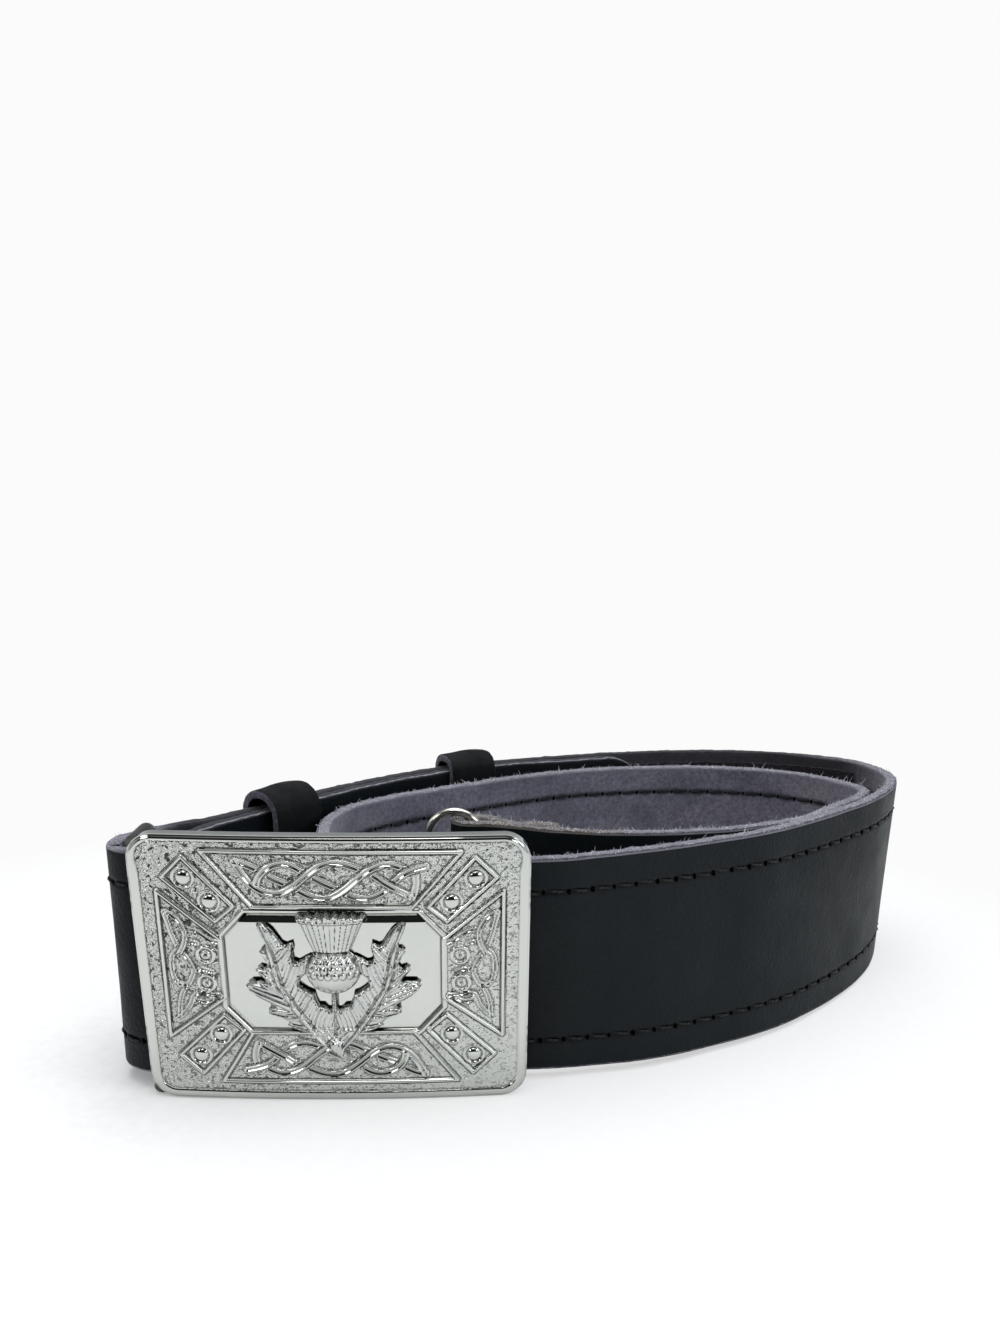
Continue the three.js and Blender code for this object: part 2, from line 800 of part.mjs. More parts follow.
function bossShapes() {
  const shapes = [];
  for (const flip of [1, -1]) {
    for (const up of [1, -1]) {
      for (const boss of bosses) {
        shapes.push(circleShape(boss.x * flip * halfWidth, boss.y * up * halfHeight, bossRadius, 10));
      }
      const y = spirals.y * up * halfHeight;
      shapes.push(circleShape(spirals.x * flip * halfWidth, y, lineWidth, 8));
    }
  }
  return shapes;
}

// The bar is one bent wire: out of the plate, down behind it and back
function barSolid() {
  const x = barInset - halfWidth;
  const low = barLift - barEndGap - barRadius;
  const high = plateHeight - barTopInset;
  const root = faceDepth(x) + plateThickness / 2;
  const points = [];
  points.push(new THREE.Vector3(x, root, high));
  for (let step = 0; step <= 3; step += 1) {
    const angle = Math.PI / 2 * (1 - step / 3);
    points.push(new THREE.Vector3(
      x,
      barBack - barCorner * (1 - Math.cos(angle)),
      high - barCorner * (1 - Math.sin(angle)),
    ));
  }
  for (let step = 0; step <= 3; step += 1) {
    const angle = -Math.PI / 2 * step / 3;
    points.push(new THREE.Vector3(
      x,
      barBack - barCorner * (1 - Math.cos(angle)),
      low + barCorner * (1 + Math.sin(angle)),
    ));
  }
  points.push(new THREE.Vector3(x, root, low));
  return toSolid(wireBody(points, new THREE.Vector3(-1, 0, 0), barRadius, 10, false));
}

// The hook is a flat tongue bent sideways, to take the ring
function hookSolid() {
  const root = halfWidth - hookInset;
  const back = faceDepth(root) + plateThickness;
  const outline = [
    [root, back - plateThickness / 2],
    [root + hookThickness, back - plateThickness / 2],
    [root + hookThickness, back + hookReach - hookThickness],
    [root + hookLength, back + hookReach - hookThickness],
    [root + hookLength, back + hookReach],
    [root, back + hookReach],
  ];
  const geometry = extrude(pointsShape(outline), hookWidth);
  geometry.translate(0, 0, (plateHeight - hookWidth) / 2);
  return toSolid(geometry);
}

function makePlate() {
  const outline = roundedOutline(
    THREE.Shape, -halfWidth, -halfHeight, halfWidth, halfHeight, plateCorner,
  );
  const plate = faceLayer(-plateThickness, 0).intersect(facePrism(outline));
  const hollow = faceLayer(-windowDepth, plateBulge * 2).intersect(
    facePrism(pointsShape(onPlate(windowCorners()))),
  );
  const lines = join(ornamentShapes().map((shape) => facePrism(shape)));
  const domes = join(bossShapes().map((shape) => facePrism(shape)));
  const raised = faceLayer(-reliefRoot, reliefHeight).intersect(lines);
  const raisedDomes = faceLayer(-reliefRoot, bossHeight).intersect(domes);
  const body = join([plate.subtract(hollow), raised, raisedDomes, barSolid(), hookSolid()]);
  return pieceMesh('buckle_plate', toGeometry(body), chrome);
}

// Thistle: x across and y up as shares of its width and height from the middle of its bulb. The leaf's
// edge runs from the stem round its lobes, up its outer side and down its inner side, through the tip of
// each lobe and then the notch beyond it.
const leafLobes = [
  { tipX: 0.09, tipY: -0.3, notchX: 0.2, notchY: -0.3 },
  { tipX: 0.35, tipY: -0.292, notchX: 0.29, notchY: -0.22 },
  { tipX: 0.5, tipY: -0.118, notchX: 0.32, notchY: -0.1 },
  { tipX: 0.44, tipY: -0.02, notchX: 0.345, notchY: 0.02 },
  { tipX: 0.415, tipY: 0.12, notchX: 0.36, notchY: 0.13 },
  { tipX: 0.43, tipY: 0.3, notchX: 0.37, notchY: 0.29 },
  { tipX: 0.27, tipY: 0.17, notchX: 0.25, notchY: 0.04 },
  { tipX: 0.17, tipY: -0.02, notchX: 0.22, notchY: -0.08 },
  { tipX: 0.14, tipY: -0.16, notchX: 0.08, notchY: -0.24 },
];
const leafRoot = { x: 0.02, low: -0.33, high: -0.24 };
const stemSections = [
  { y: -0.14, half: 0.035 },
  { y: -0.3, half: 0.035 },
  { y: -0.44, half: 0.07 },
  { y: -0.6, half: 0.03 },
];
const bulbScales = [
  { up: -0.5, count: 4 },
  { up: -0.1, count: 5 },
  { up: 0.3, count: 4 },
];
const scaleSpacing = 0.3;
const tuft = { ribs: 7, foot: 0.1, top: 0.4, topStep: 0.02, footWidth: 0.204, topWidth: 0.408 };

// A block on the thistle's flat back, from its back to a height over it
function thistleBlock(points, height) {
  const geometry = extrude(pointsShape(points), height);
  geometry.rotateX(Math.PI / 2);
  return toSolid(geometry);
}

function scaledPoints(points, flip = 1) {
  const placed = points.map(([x, y]) => [x * flip * thistleWidth, y * thistleHeight]);
  return flip > 0 ? placed : placed.reverse();
}

function leafPoints() {
  const edge = leafLobes.flatMap((lobe) => [[lobe.tipX, lobe.tipY], [lobe.notchX, lobe.notchY]]);
  return [[leafRoot.x, leafRoot.low], ...edge, [leafRoot.x, leafRoot.high]];
}

function stemPoints() {
  const left = stemSections.map((section) => [-section.half, section.y]);
  const right = stemSections.map((section) => [section.half, section.y]).reverse();
  return [...left, ...right];
}

// Ribs side by side, higher at the middle of the tuft, with every other one a step lower
function tuftSolid() {
  const ribs = [];
  for (let rib = 0; rib < tuft.ribs; rib += 1) {
    const low = rib / tuft.ribs - 0.5;
    const high = (rib + 1) / tuft.ribs - 0.5;
    const step = rib % 2;
    const top = tuft.top + tuft.topStep * step;
    const points = [
      [low * tuft.footWidth, tuft.foot],
      [high * tuft.footWidth, tuft.foot],
      [high * tuft.topWidth, top],
      [low * tuft.topWidth, top],
    ];
    const height = tuftDepth - tuftRound * ((low + high) / 2) ** 2 - ribStep * step;
    ribs.push(thistleBlock(scaledPoints(points), height));
  }
  return join(ribs);
}

function bulbSolid() {
  const bulb = new THREE.SphereGeometry(1, 16, 10);
  bulb.scale(bulbWidth / 2, thistleCrown, bulbHeight / 2);
  const scales = [];
  for (const { up, count } of bulbScales) {
    for (let step = 0; step < count; step += 1) {
      const across = (step - (count - 1) / 2) * scaleSpacing;
      const out = Math.sqrt(Math.max(1 - up * up - across * across, 0));
      const scale = new THREE.ConeGeometry(scaleRadius, scaleLength, 5);
      scale.rotateX(THREE.MathUtils.degToRad(scaleTilt));
      scale.translate(across * bulbWidth / 2, -out * thistleCrown, up * bulbHeight / 2);
      scales.push(toSolid(scale));
    }
  }
  const front = new THREE.BoxGeometry(bulbWidth * 2, thistleCrown * 2, bulbHeight * 2);
  front.translate(0, -thistleCrown, 0);
  return join([toSolid(bulb), ...scales]).intersect(toSolid(front));
}

function makeThistle() {
  const parts = [tuftSolid(), bulbSolid()];
  for (const flip of [1, -1]) {
    parts.push(thistleBlock(scaledPoints(leafPoints(), flip), thistleThickness));
  }
  parts.push(thistleBlock(scaledPoints(stemPoints()), stemThickness));
  const back = reliefHeight + thistleGap;
  for (const up of [-0.5, 0.5]) {
    const length = back + windowDepth - thistleGap;
    const pin = new THREE.CylinderGeometry(pinRadius, pinRadius, length + thistleThickness / 2, 10);
    pin.translate(0, length / 2 - thistleThickness / 4, up * pinSpacing);
    parts.push(toSolid(pin));
  }
  const mesh = pieceMesh('thistle_mount', toGeometry(join(parts)), chrome);
  mesh.position.set(0, -plateBulge - back, halfHeight);
  return mesh;
}

function makeBuckle() {
  const buckle = new THREE.Group();
  buckle.name = 'buckle';
  buckle.add(makePlate(), makeThistle());
  buckle.position.set(plateMiddle, plateFront, 0);
  buckle.rotation.z = plateYaw;
  return buckle;
}

// The whole belt, moved so that its origin is under the middle of its box
const belt = new THREE.Group();
belt.name = 'kilt_belt';
belt.add(
  makeStrap(),
  makeTape(),
  makeKeeper('keeper_near', keeperNearAt, keeperNearSlack),
  makeKeeper('keeper_far', keeperFarAt, 0),
  makeRing(),
  makeBuckle(),
);
belt.updateMatrixWorld(true);
const extent = new THREE.Box3().setFromObject(belt, true);
const middle = extent.getCenter(new THREE.Vector3());
belt.position.set(-middle.x, -middle.y, -extent.min.z);

export default belt;
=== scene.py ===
# A kilt belt of black leather, coiled in two turns on its edge, with a cast and plated buckle.
# Sizes in the tables are millimetres; Blender's own units are metres.
import math

import bpy
import numpy as np
from mathutils import Matrix, Vector, noise


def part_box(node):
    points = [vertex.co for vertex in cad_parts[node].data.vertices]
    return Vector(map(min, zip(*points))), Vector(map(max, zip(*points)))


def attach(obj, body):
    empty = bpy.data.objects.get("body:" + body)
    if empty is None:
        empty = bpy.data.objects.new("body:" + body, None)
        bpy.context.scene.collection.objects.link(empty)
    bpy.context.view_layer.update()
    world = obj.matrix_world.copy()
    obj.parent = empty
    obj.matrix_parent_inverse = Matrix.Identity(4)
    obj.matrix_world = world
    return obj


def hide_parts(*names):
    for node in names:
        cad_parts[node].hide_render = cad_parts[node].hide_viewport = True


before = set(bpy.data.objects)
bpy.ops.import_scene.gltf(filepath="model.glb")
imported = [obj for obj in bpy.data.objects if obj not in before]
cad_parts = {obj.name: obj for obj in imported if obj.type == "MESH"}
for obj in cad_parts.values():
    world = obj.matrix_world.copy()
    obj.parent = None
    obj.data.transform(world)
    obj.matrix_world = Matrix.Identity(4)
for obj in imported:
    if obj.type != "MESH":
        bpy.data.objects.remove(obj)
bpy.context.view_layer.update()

MM = 0.001
rng = np.random.default_rng(57)

# Strap and its sewing
STRAP_WIDTH = 57.0
STRAP_THICKNESS = 3.6
STRAP_BEVEL = 0.5
BAND_STEP = 1.4
STITCH_INSET = 8.5
STITCH_ROWS = (STITCH_INSET, STRAP_WIDTH - STITCH_INSET)
STITCH_PITCH = 6.3
THREAD_RADIUS = 0.38
THREAD_SIDES = 6
GROOVE_DEPTH = 0.3
GROOVE_HALF = 0.75
HOLE_HALF = 0.68
HOLE_SIDES = 6

# Distances along the strap from its tail: the turn round the bar, the end of its back run,
# the last stretch before the ring, and where its cut edge turns brown
FOLD_AT = 212.0
BACK_END = 506.0
LAST_RUN = 1060.0
BROWN_FROM, BROWN_TO = 1078.0, 1094.0

# Fibres on the cut edges: on the front and inner turns, on the last run, and at the turn round the bar
FIBRES = 3600
FIBRES_LAST_RUN = 700
FIBRES_FOLD = 60
FIBRE_RADII = (0.085, 0.065, 0.02)

# Buckle: the middle of its foot in the frame, and its turn about the vertical
PLATE_MIDDLE = Vector((-56.083, -69.631, 0.0))
PLATE_YAW = math.radians(1.8)
PLATE_WIDTH = 93.0
PLATE_HEIGHT = 68.0
HALF_W = PLATE_WIDTH / 2
HALF_H = PLATE_HEIGHT / 2
PLATE_THICKNESS = 3.0
PLATE_BULGE = 2.5
PLATE_CORNER = 6.5
PLATE_COLUMNS, PLATE_LINES = 245, 356
WINDOW_DEPTH = 0.7
BAR_RADIUS = 1.8
BAR_BACK = 15.2
BAR_INSET = 1.7
BAR_CORNER = 4.0
HOOK_INSET = 12.0
HOOK_WIDTH = 8.0
HOOK_LENGTH = 10.0
HOOK_REACH = 5.0
HOOK_THICKNESS = 1.6
HOOK_ROOT = 1.5
THISTLE_BACK = -3.4
THISTLE_SINK = 1.0
THISTLE_CELL = 0.15
PIN_RADIUS = 1.3
PIN_LENGTH = 2.6
PIN_UP = 3.5

KEEPER_WALL = 2.4
KEEPER_STEPS = 8
RING_WIRE = 2.2
RING_WIDTH = 16.6

# Camera, fitted to the belt's outline. The photograph is cropped off its middle.
CAMERA_PLACE = (-0.016683, -0.301631, 0.135482)
CAMERA_PITCH = math.radians(21.131)
CAMERA_ROLL = math.radians(0.696)
SENSOR_WIDTH = 36
PHOTO_HEIGHT = 1333
FOCAL_PIXELS = 1056.18
MIDDLE_ROW = 925.99


def smooth_step(value, low, high):
    share = np.clip((value - low) / (high - low), 0, 1)
    return share * share * (3 - 2 * share)


# Placing and finishing pieces

def deselect():
    if bpy.context.object and bpy.context.object.mode != "OBJECT":
        bpy.ops.object.mode_set(mode="OBJECT")
    bpy.ops.object.select_all(action="DESELECT")


def make_active(piece):
    deselect()
    piece.select_set(True)
    bpy.context.view_layer.objects.active = piece


def link_piece(name, data):
    piece = bpy.data.objects.new(name, data)
    bpy.context.scene.collection.objects.link(piece)
    return piece


def shade_faces(piece, smooth=True):
    piece.data.polygons.foreach_set("use_smooth", [smooth] * len(piece.data.polygons))


def new_piece(name, points, faces, smooth=True):
    """A mesh piece from points in millimetres."""
    mesh = bpy.data.meshes.new(name)
    mesh.from_pydata([tuple(point) for point in np.asarray(points, float) * MM], [], faces)
    mesh.update()
    piece = link_piece(name, mesh)
    shade_faces(piece, smooth)
    return piece


def start_editing(piece):
    """Edit mode, with all of the piece selected."""
    make_active(piece)
    bpy.ops.object.mode_set(mode="EDIT")
    bpy.ops.mesh.select_all(action="SELECT")


def stop_editing():
    bpy.ops.object.mode_set(mode="OBJECT")


def copy_node(node, name):
    """A merged copy of a CAD node, ready for edit mode."""
    piece = link_piece(name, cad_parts[node].data.copy())
    start_editing(piece)
    bpy.ops.mesh.remove_doubles(threshold=0.00001)
    stop_editing()
    return piece


def apply_modifier(piece, kind, **settings):
    make_active(piece)
    modifier = piece.modifiers.new(kind.title(), kind)
    for key, value in settings.items():
        setattr(modifier, key, value)
    bpy.ops.object.modifier_apply(modifier=modifier.name)


def apply_place(piece):
    make_active(piece)
    bpy.ops.object.transform_apply(location=True, rotation=True, scale=True)


def finish_piece(piece, material, slot, *nodes):
    if not piece.data.materials:
        piece.data.materials.append(material)
    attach(piece, "root")
    if nodes:
        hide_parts(*nodes)
    return piece

def add_part(points, faces, more_points, more_faces):
    """Adds points and the faces between them to the lists of a piece with many parts."""
    base = len(points)
    points.extend(more_points)
    faces.extend(tuple(base + k for k in face) for face in more_faces)


def add_uv(piece, places):
    """A UV map from one place for each point of a piece."""
    layer = piece.data.uv_layers.new(name="UVMap")
    loops = np.zeros(len(piece.data.loops), int)
    piece.data.loops.foreach_get("vertex_index", loops)
    layer.data.foreach_set("uv", np.asarray(places)[loops].ravel())


def add_marks(piece, name, values):
    """Stores one value for each of the first points of a piece, and zero for the rest."""
    marks = piece.data.attributes.new(name, "FLOAT", "POINT")
    every = np.zeros(len(piece.data.vertices), np.float32)
    every[:len(values)] = values
    marks.data.foreach_set("value", every)


# Materials

def linear(code):
    """Linear colour from an sRGB hex value."""
    parts = [int(code[i:i + 2], 16) / 255 for i in (1, 3, 5)]
    return [c / 12.92 if c <= 0.04045 else ((c + 0.055) / 1.055) ** 2.4 for c in parts] + [1.0]


class Nodes:
    """The node tree of a material or a world, and short ways to add the nodes that they share."""

    def __init__(self, owner):
        owner.use_nodes = True
        self.owner = owner
        self.tree = owner.node_tree
        self.tree.nodes.clear()

    def add(self, kind, inputs=(), **settings):
        """Adds a node. Its inputs, by name or number, take values or other nodes' outputs."""
        node = self.tree.nodes.new("ShaderNode" + kind)
        for key, value in settings.items():
            setattr(node, key, value)
        for key, value in dict(inputs).items():
            if isinstance(value, bpy.types.NodeSocket):
                self.tree.links.new(value, node.inputs[key])
            else:
                node.inputs[key].default_value = value
        return node

    def ramp(self, factor, *stops):
        """A colour ramp through (place, sRGB hex) stops."""
        node = self.add("ValToRGB", {"Fac": factor})
        while len(node.color_ramp.elements) < len(stops):
            node.color_ramp.elements.new(0.5)
        for element, (place, code) in zip(node.color_ramp.elements, stops):
            element.position = place
            element.color = linear(code)
        return node.outputs["Color"]

    def calc(self, operation, *values):
        return self.add("Math", dict(enumerate(values)), operation=operation).outputs[0]

    def mix(self, factor, first, second, blend="MIX"):
        inputs = {0: factor, 6: first, 7: second}
        return self.add("Mix", inputs, data_type="RGBA", blend_type=blend).outputs[2]

    def split(self, vector):
        return self.add("SeparateXYZ", {"Vector": vector}).outputs

    def to_range(self, value, low, high, out_low=0.0, out_high=1.0):
        return self.add("MapRange", {
            "Value": value, "From Min": low, "From Max": high,
            "To Min": out_low, "To Max": out_high}).outputs["Result"]


class Finish(Nodes):
    """A material: where is the place in the frame, uv the place along and across the strap."""

    def __init__(self, name, inputs=()):
        super().__init__(bpy.data.materials.new(name))
        self.shader = self.add("BsdfPrincipled", inputs)
        self.output = self.add("OutputMaterial", {"Surface": self.shader.outputs["BSDF"]})
        places = self.add("TexCoord").outputs
        self.where, self.uv = places["Object"], places["UV"]

    def blotches(self, size, detail=2.0, roughness=0.5, where=None):
        """Noise with features of about a size in millimetres."""
        return self.add("TexNoise", {
            "Vector": where or self.where, "Scale": 1 / (size * MM),
            "Detail": detail, "Roughness": roughness}).outputs["Fac"]

    def pebbles(self, size):
        """Rounded cells of about a size in millimetres."""
        inputs = {"Vector": self.where, "Scale": 1 / (size * MM), "Randomness": 1.0}
        return self.add("TexVoronoi", inputs, feature="SMOOTH_F1").outputs["Distance"]

    def mark(self, name):
        """A value that the piece's points carry."""
        return self.add("Attribute", attribute_name=name).outputs["Fac"]

    def away(self, value, middle):
        return self.calc("ABSOLUTE", self.calc("SUBTRACT", value, middle))

    def off_sewing(self):
        """Distance from the nearer row of stitches."""
        off_middle = self.away(self.split(self.uv)["Y"], STRAP_WIDTH / 2 * MM)
        return self.away(off_middle, (STRAP_WIDTH / 2 - STITCH_INSET) * MM)

    def complete(self, color, layers=(), rub=None):
        """Links the colour, the bump layers, each (height, depth in millimetres), and a roughness."""
        self.tree.links.new(color, self.shader.inputs["Base Color"])
        if rub:
            self.tree.links.new(rub, self.shader.inputs["Roughness"])
        normal = None
        for height, depth in layers:
            inputs = {"Height": height, "Distance": depth * MM, "Strength": 1.0}
            if normal:
                inputs["Normal"] = normal
            normal = self.add("Bump", inputs).outputs["Normal"]
        if normal:
            self.tree.links.new(normal, self.shader.inputs["Normal"])
        return self.owner


def make_leather():
    """Grain side of a black waxed hide: close grain, satin, darker and pressed in along the sewing."""
    hide = Finish("black grain leather", {"Specular IOR Level": 0.15})
    color = hide.ramp(hide.blotches(60, 3), (0.3, "#060c0f"), (0.7, "#0d1417"))
    groove = hide.to_range(hide.off_sewing(), 0.0012, 0.0004, 0.0, 0.85)
    color = hide.mix(groove, color, linear("#030405"))
    rub = hide.to_range(hide.blotches(14, 4, 0.6), 0.3, 0.7, 0.44, 0.58)
    layers = [(hide.blotches(9, 3), 0.25), (hide.pebbles(0.9), 0.11), (hide.blotches(0.7, 2), 0.12)]
    return hide.complete(color, layers, rub)


def make_hole_shade():
    """Painted shade in the awl holes: torn fibres, near-black and without any shine, standing in for the
    dark inside each hole.
    """
    hide = Finish("waxed hide in the awl holes", {"Roughness": 1.0, "Specular IOR Level": 0.0})
    color = hide.ramp(hide.blotches(0.6, 2), (0.3, "#010202"), (0.7, "#050606"))
    return hide.complete(color, [(hide.blotches(0.5, 2), 0.2)])


def make_suede():
    """Flesh side of the hide: matt, soft nap, cloudy grey violet, with painted shade on the outer turn's
    back run and towards the left.
    """
    hide = Finish("flesh side of the hide", {
        "Roughness": 0.95, "Specular IOR Level": 0.2, "Sheen Weight": 0.25, "Sheen Roughness": 0.5})
    clouds = hide.blotches(16, 4, 0.6)
    color = hide.ramp(clouds, (0.28, "#63626f"), (0.5, "#787786"), (0.75, "#8b8891"))
    nap = hide.ramp(hide.blotches(1.1, 3, 0.7), (0.3, "#b4b4b4"), (0.7, "#ffffff"))
    color = hide.mix(1.0, color, nap, "MULTIPLY")
    wander = hide.to_range(hide.blotches(3, 2), 0.3, 0.7, -0.0003, 0.0004)
    row = hide.calc("ADD", hide.off_sewing(), wander)
    color = hide.mix(hide.to_range(row, 0.0015, 0.0004, 0.0, 0.75), color, linear("#201f29"))
    # Painted shade: the flesh side darkens towards the left, where the inner loop lies in shade
    shade = hide.to_range(hide.split(hide.where)["X"], -0.03, -0.08, 0.0, 0.3)
    color = hide.mix(shade, color, linear("#262a3a"))
    along = hide.split(hide.uv)["X"]
    # Painted shade: the flesh side of the tail and of the outer turn's back run, which faces the inner turn,
    # is darkened
    back_run_shade = hide.to_range(along, (BACK_END + 8) * MM, (BACK_END - 18) * MM, 0.0, 0.82)
    color = hide.mix(back_run_shade, color, linear("#1d1b1e"))
    return hide.complete(color, [(hide.blotches(5, 4, 0.6), 0.25), (hide.blotches(0.6, 3, 0.7), 0.12)])


def make_raw_edge():
    """Cut edge of the hide: grey fibres under a dyed grain layer, with painted shade round the back of the
    coil.
    """
    edge = Finish("cut edge of the hide", {
        "Roughness": 0.92, "Specular IOR Level": 0.15, "Sheen Weight": 0.1})
    drawn = edge.add("Mapping", {"Vector": edge.uv, "Scale": (0.35, 1.0, 1.0)}).outputs["Vector"]
    fibres = edge.blotches(0.8, 4, 0.7, drawn)
    grey = edge.ramp(fibres, (0.3, "#52515c"), (0.55, "#82818b"), (0.8, "#b3b2b9"))
    brown = edge.ramp(fibres, (0.3, "#3f3b3a"), (0.6, "#77716c"), (0.85, "#9d978f"))
    black = edge.ramp(fibres, (0.35, "#121315"), (0.7, "#2a2a2f"), (0.9, "#6b6a73"))
    places = edge.split(edge.uv)
    along, depth = places["X"], places["Y"]
    color = edge.mix(edge.to_range(along, BROWN_FROM * MM, BROWN_TO * MM), grey, brown)
    # Painted shade: below the grain layer the edge darkens round the back of the coil, except at the turn
    # round the bar
    shade_at_back = edge.to_range(along, BACK_END * MM, (BACK_END - 40) * MM, 0.0, 0.92)
    off_fold = edge.to_range(edge.away(along, FOLD_AT * MM), 0.014, 0.026)
    under_grain = edge.to_range(depth, 0.0004, 0.0007)
    dark = edge.calc("MULTIPLY", edge.calc("MULTIPLY", shade_at_back, off_fold), under_grain)
    color = edge.mix(dark, color, black)
    ragged = edge.calc("ADD", depth, edge.to_range(fibres, 0.3, 0.7, -0.0003, 0.0003))
    dyed = edge.to_range(ragged, 0.0009, 0.0005, 0.0, 0.7)
    at_front = edge.to_range(along, (BACK_END - 40) * MM, BACK_END * MM)
    color = edge.mix(edge.calc("MULTIPLY", dyed, at_front), color, linear("#1b1c20"))
    return edge.complete(color, [(fibres, 0.3), (edge.blotches(0.5, 2), 0.1)])


def make_thread():
    """Waxed polyester thread, laid in three plies."""
    cord = Finish("waxed black thread", {"Roughness": 0.5, "Specular IOR Level": 0.25})
    inputs = {"Vector": cord.uv, "Scale": 0.32, "Distortion": 0.6}
    ply = cord.add("TexWave", inputs, bands_direction="DIAGONAL").outputs["Fac"]
    return cord.complete(cord.ramp(ply, (0.3, "#020303"), (0.8, "#15191b")), [(ply, 0.12)])


def make_fibre():
    """Loose fibres that stand out of the cut edges."""
    hair = Finish("loose hide fibre", {"Roughness": 0.85, "Specular IOR Level": 0.25})
    return hair.complete(hair.ramp(hair.blotches(4, 1), (0.35, "#9b9aa3"), (0.65, "#dddce2")))


def make_keeper_leather():
    """Softer black leather, with a dry matt surface and a fine nap."""
    skin = Finish("soft black leather", {"Specular IOR Level": 0.17})
    color = skin.ramp(skin.blotches(7, 5, 0.65), (0.3, "#040506"), (0.75, "#0d0f12"))
    rub = skin.to_range(skin.blotches(5, 3), 0.3, 0.7, 0.55, 0.8)
    return skin.complete(color, [(skin.blotches(2.2, 4, 0.6), 0.22), (skin.blotches(0.5, 2), 0.07)], rub)


def make_keeper_edge():
    """Cut end of the keeper: dark fibres with a grey nap."""
    edge = Finish("cut edge of the keeper", {
        "Roughness": 0.95, "Specular IOR Level": 0.15, "Sheen Weight": 0.2})
    fibres = edge.blotches(1.0, 4, 0.7)
    color = edge.ramp(fibres, (0.3, "#2c2b36"), (0.55, "#4f4d5b"), (0.8, "#76747f"))
    return edge.complete(color, [(edge.blotches(0.8, 3), 0.25)])


def make_pile():
    """Loop pile of a hook-and-loop tape: nylon loops, matt and dark."""
    loops = Finish("nylon loop pile", {
        "Roughness": 1.0, "Specular IOR Level": 0.1, "Sheen Weight": 0.05, "Sheen Roughness": 0.4})
    tufts = loops.blotches(0.9, 3, 0.7)
    color = loops.ramp(tufts, (0.3, "#1d1b1f"), (0.6, "#2e2b30"), (0.8, "#403d43"))
    return loops.complete(color, [(loops.blotches(0.7, 3), 0.5)])


def make_chrome():
    """Chromium plate over a cast zinc ground: mirror on the high parts, pricked all over the ground.

    The pricking is strongest towards the top left, in its bump and in the painted dark reflection of its
    pits.
    """
    plate = Finish("chrome plate on zinc casting", {"Metallic": 1.0})
    pricked = plate.mark("pricked")
    color = plate.ramp(plate.blotches(30, 2), (0.3, "#c3c5c0"), (0.7, "#cacbc6"))
    # Painted shade: the colour darkens in the hollows of the relief
    hollow_shade = plate.calc("MULTIPLY", plate.mark("hollow_shade"), 0.75)
    color = plate.mix(hollow_shade, color, linear("#232425"))
    places = plate.split(plate.where)
    aslant = plate.calc("SUBTRACT", places["X"], places["Z"])
    # Painted reflection: the pits are coloured near-black, most towards the top left, for the dark
    # surroundings that they mirror; they also dent the bump
    pit_and_reflection_share = plate.calc("MULTIPLY", plate.to_range(aslant, -0.15, -0.03, 1.0, 0.3), pricked)
    specks = plate.to_range(plate.blotches(1.1, 1.0), 0.405, 0.355)
    holes = plate.calc("MULTIPLY", specks, pit_and_reflection_share)
    color = plate.mix(plate.calc("MULTIPLY", holes, 0.9), color, linear("#161718"))
    depth = plate.calc("MULTIPLY", plate.to_range(aslant, -0.15, -0.03, 1.0, 0.5), pricked)
    grit = plate.calc("MULTIPLY", plate.pebbles(0.8), depth)
    fine = plate.calc("MULTIPLY", plate.blotches(0.8, 2, 0.6), depth)
    layers = [(plate.blotches(12, 1), 0.03), (grit, 0.42), (fine, 0.66), (holes, -0.1)]
    return plate.complete(color, layers, plate.to_range(pricked, 0.0, 1.0, 0.045, 0.1))


def make_thistle_chrome():
    """The same plate over a finer casting, with soft hammered light on its leaves and painted shade in its
    hollows.
    """
    plate = Finish("chrome plate on fine casting", {"Metallic": 1.0, "Roughness": 0.09})
    color = plate.ramp(plate.blotches(8, 2), (0.3, "#bbbdb9"), (0.7, "#cacbc7"))
    # Painted shade: the colour darkens in the hollows of the relief
    hollow_shade = plate.calc("MULTIPLY", plate.mark("hollow_shade"), 0.85)
    return plate.complete(plate.mix(hollow_shade, color, linear("#242526")), [(plate.blotches(1.2, 3, 0.6), 0.2)])


def make_dark_steel():
    """Cast steel of the bar and hook, left dull by the plating."""
    steel = Finish("dull plated steel", {"Metallic": 1.0, "Roughness": 0.38})
    color = steel.ramp(steel.blotches(2, 3), (0.3, "#3c3b39"), (0.7, "#6b6a66"))
    return steel.complete(color, [(steel.blotches(1.5, 2), 0.06)])


def make_nickel():
    """Drawn steel wire with bright nickel plate."""
    wire = Finish("nickel plated wire", {"Metallic": 1.0})
    color = wire.ramp(wire.blotches(5, 3), (0.3, "#b3b0a6"), (0.7, "#c9c7bf"))
    rub = wire.to_range(wire.blotches(2, 3), 0.3, 0.7, 0.1, 0.22)
    return wire.complete(color, [(wire.blotches(3, 2), 0.03)], rub)


leather = make_leather()
hole_shade = make_hole_shade()
suede = make_suede()
raw_edge = make_raw_edge()
thread = make_thread()
fibre = make_fibre()
keeper_leather = make_keeper_leather()
keeper_edge = make_keeper_edge()
pile = make_pile()
chrome = make_chrome()
thistle_chrome = make_thistle_chrome()
nickel = make_nickel()
dark_steel = make_dark_steel()


# Strap: the CAD strap's own rings, read from one end to the other

def end_groups(neighbours, points):
    """The rings at the two ends: only their corners don't have six neighbours."""
    loose = {i for i, near in enumerate(neighbours) if len(near) != 6}
    groups = []
    while loose:
        found = {loose.pop()}
        front = set(found)
        while front:
            front = {j for i in front for j in neighbours[i]} & loose
            loose -= front
            found |= front
        groups.append(sorted(found))
    return sorted(groups, key=lambda group: -points[group][:, 1].mean())


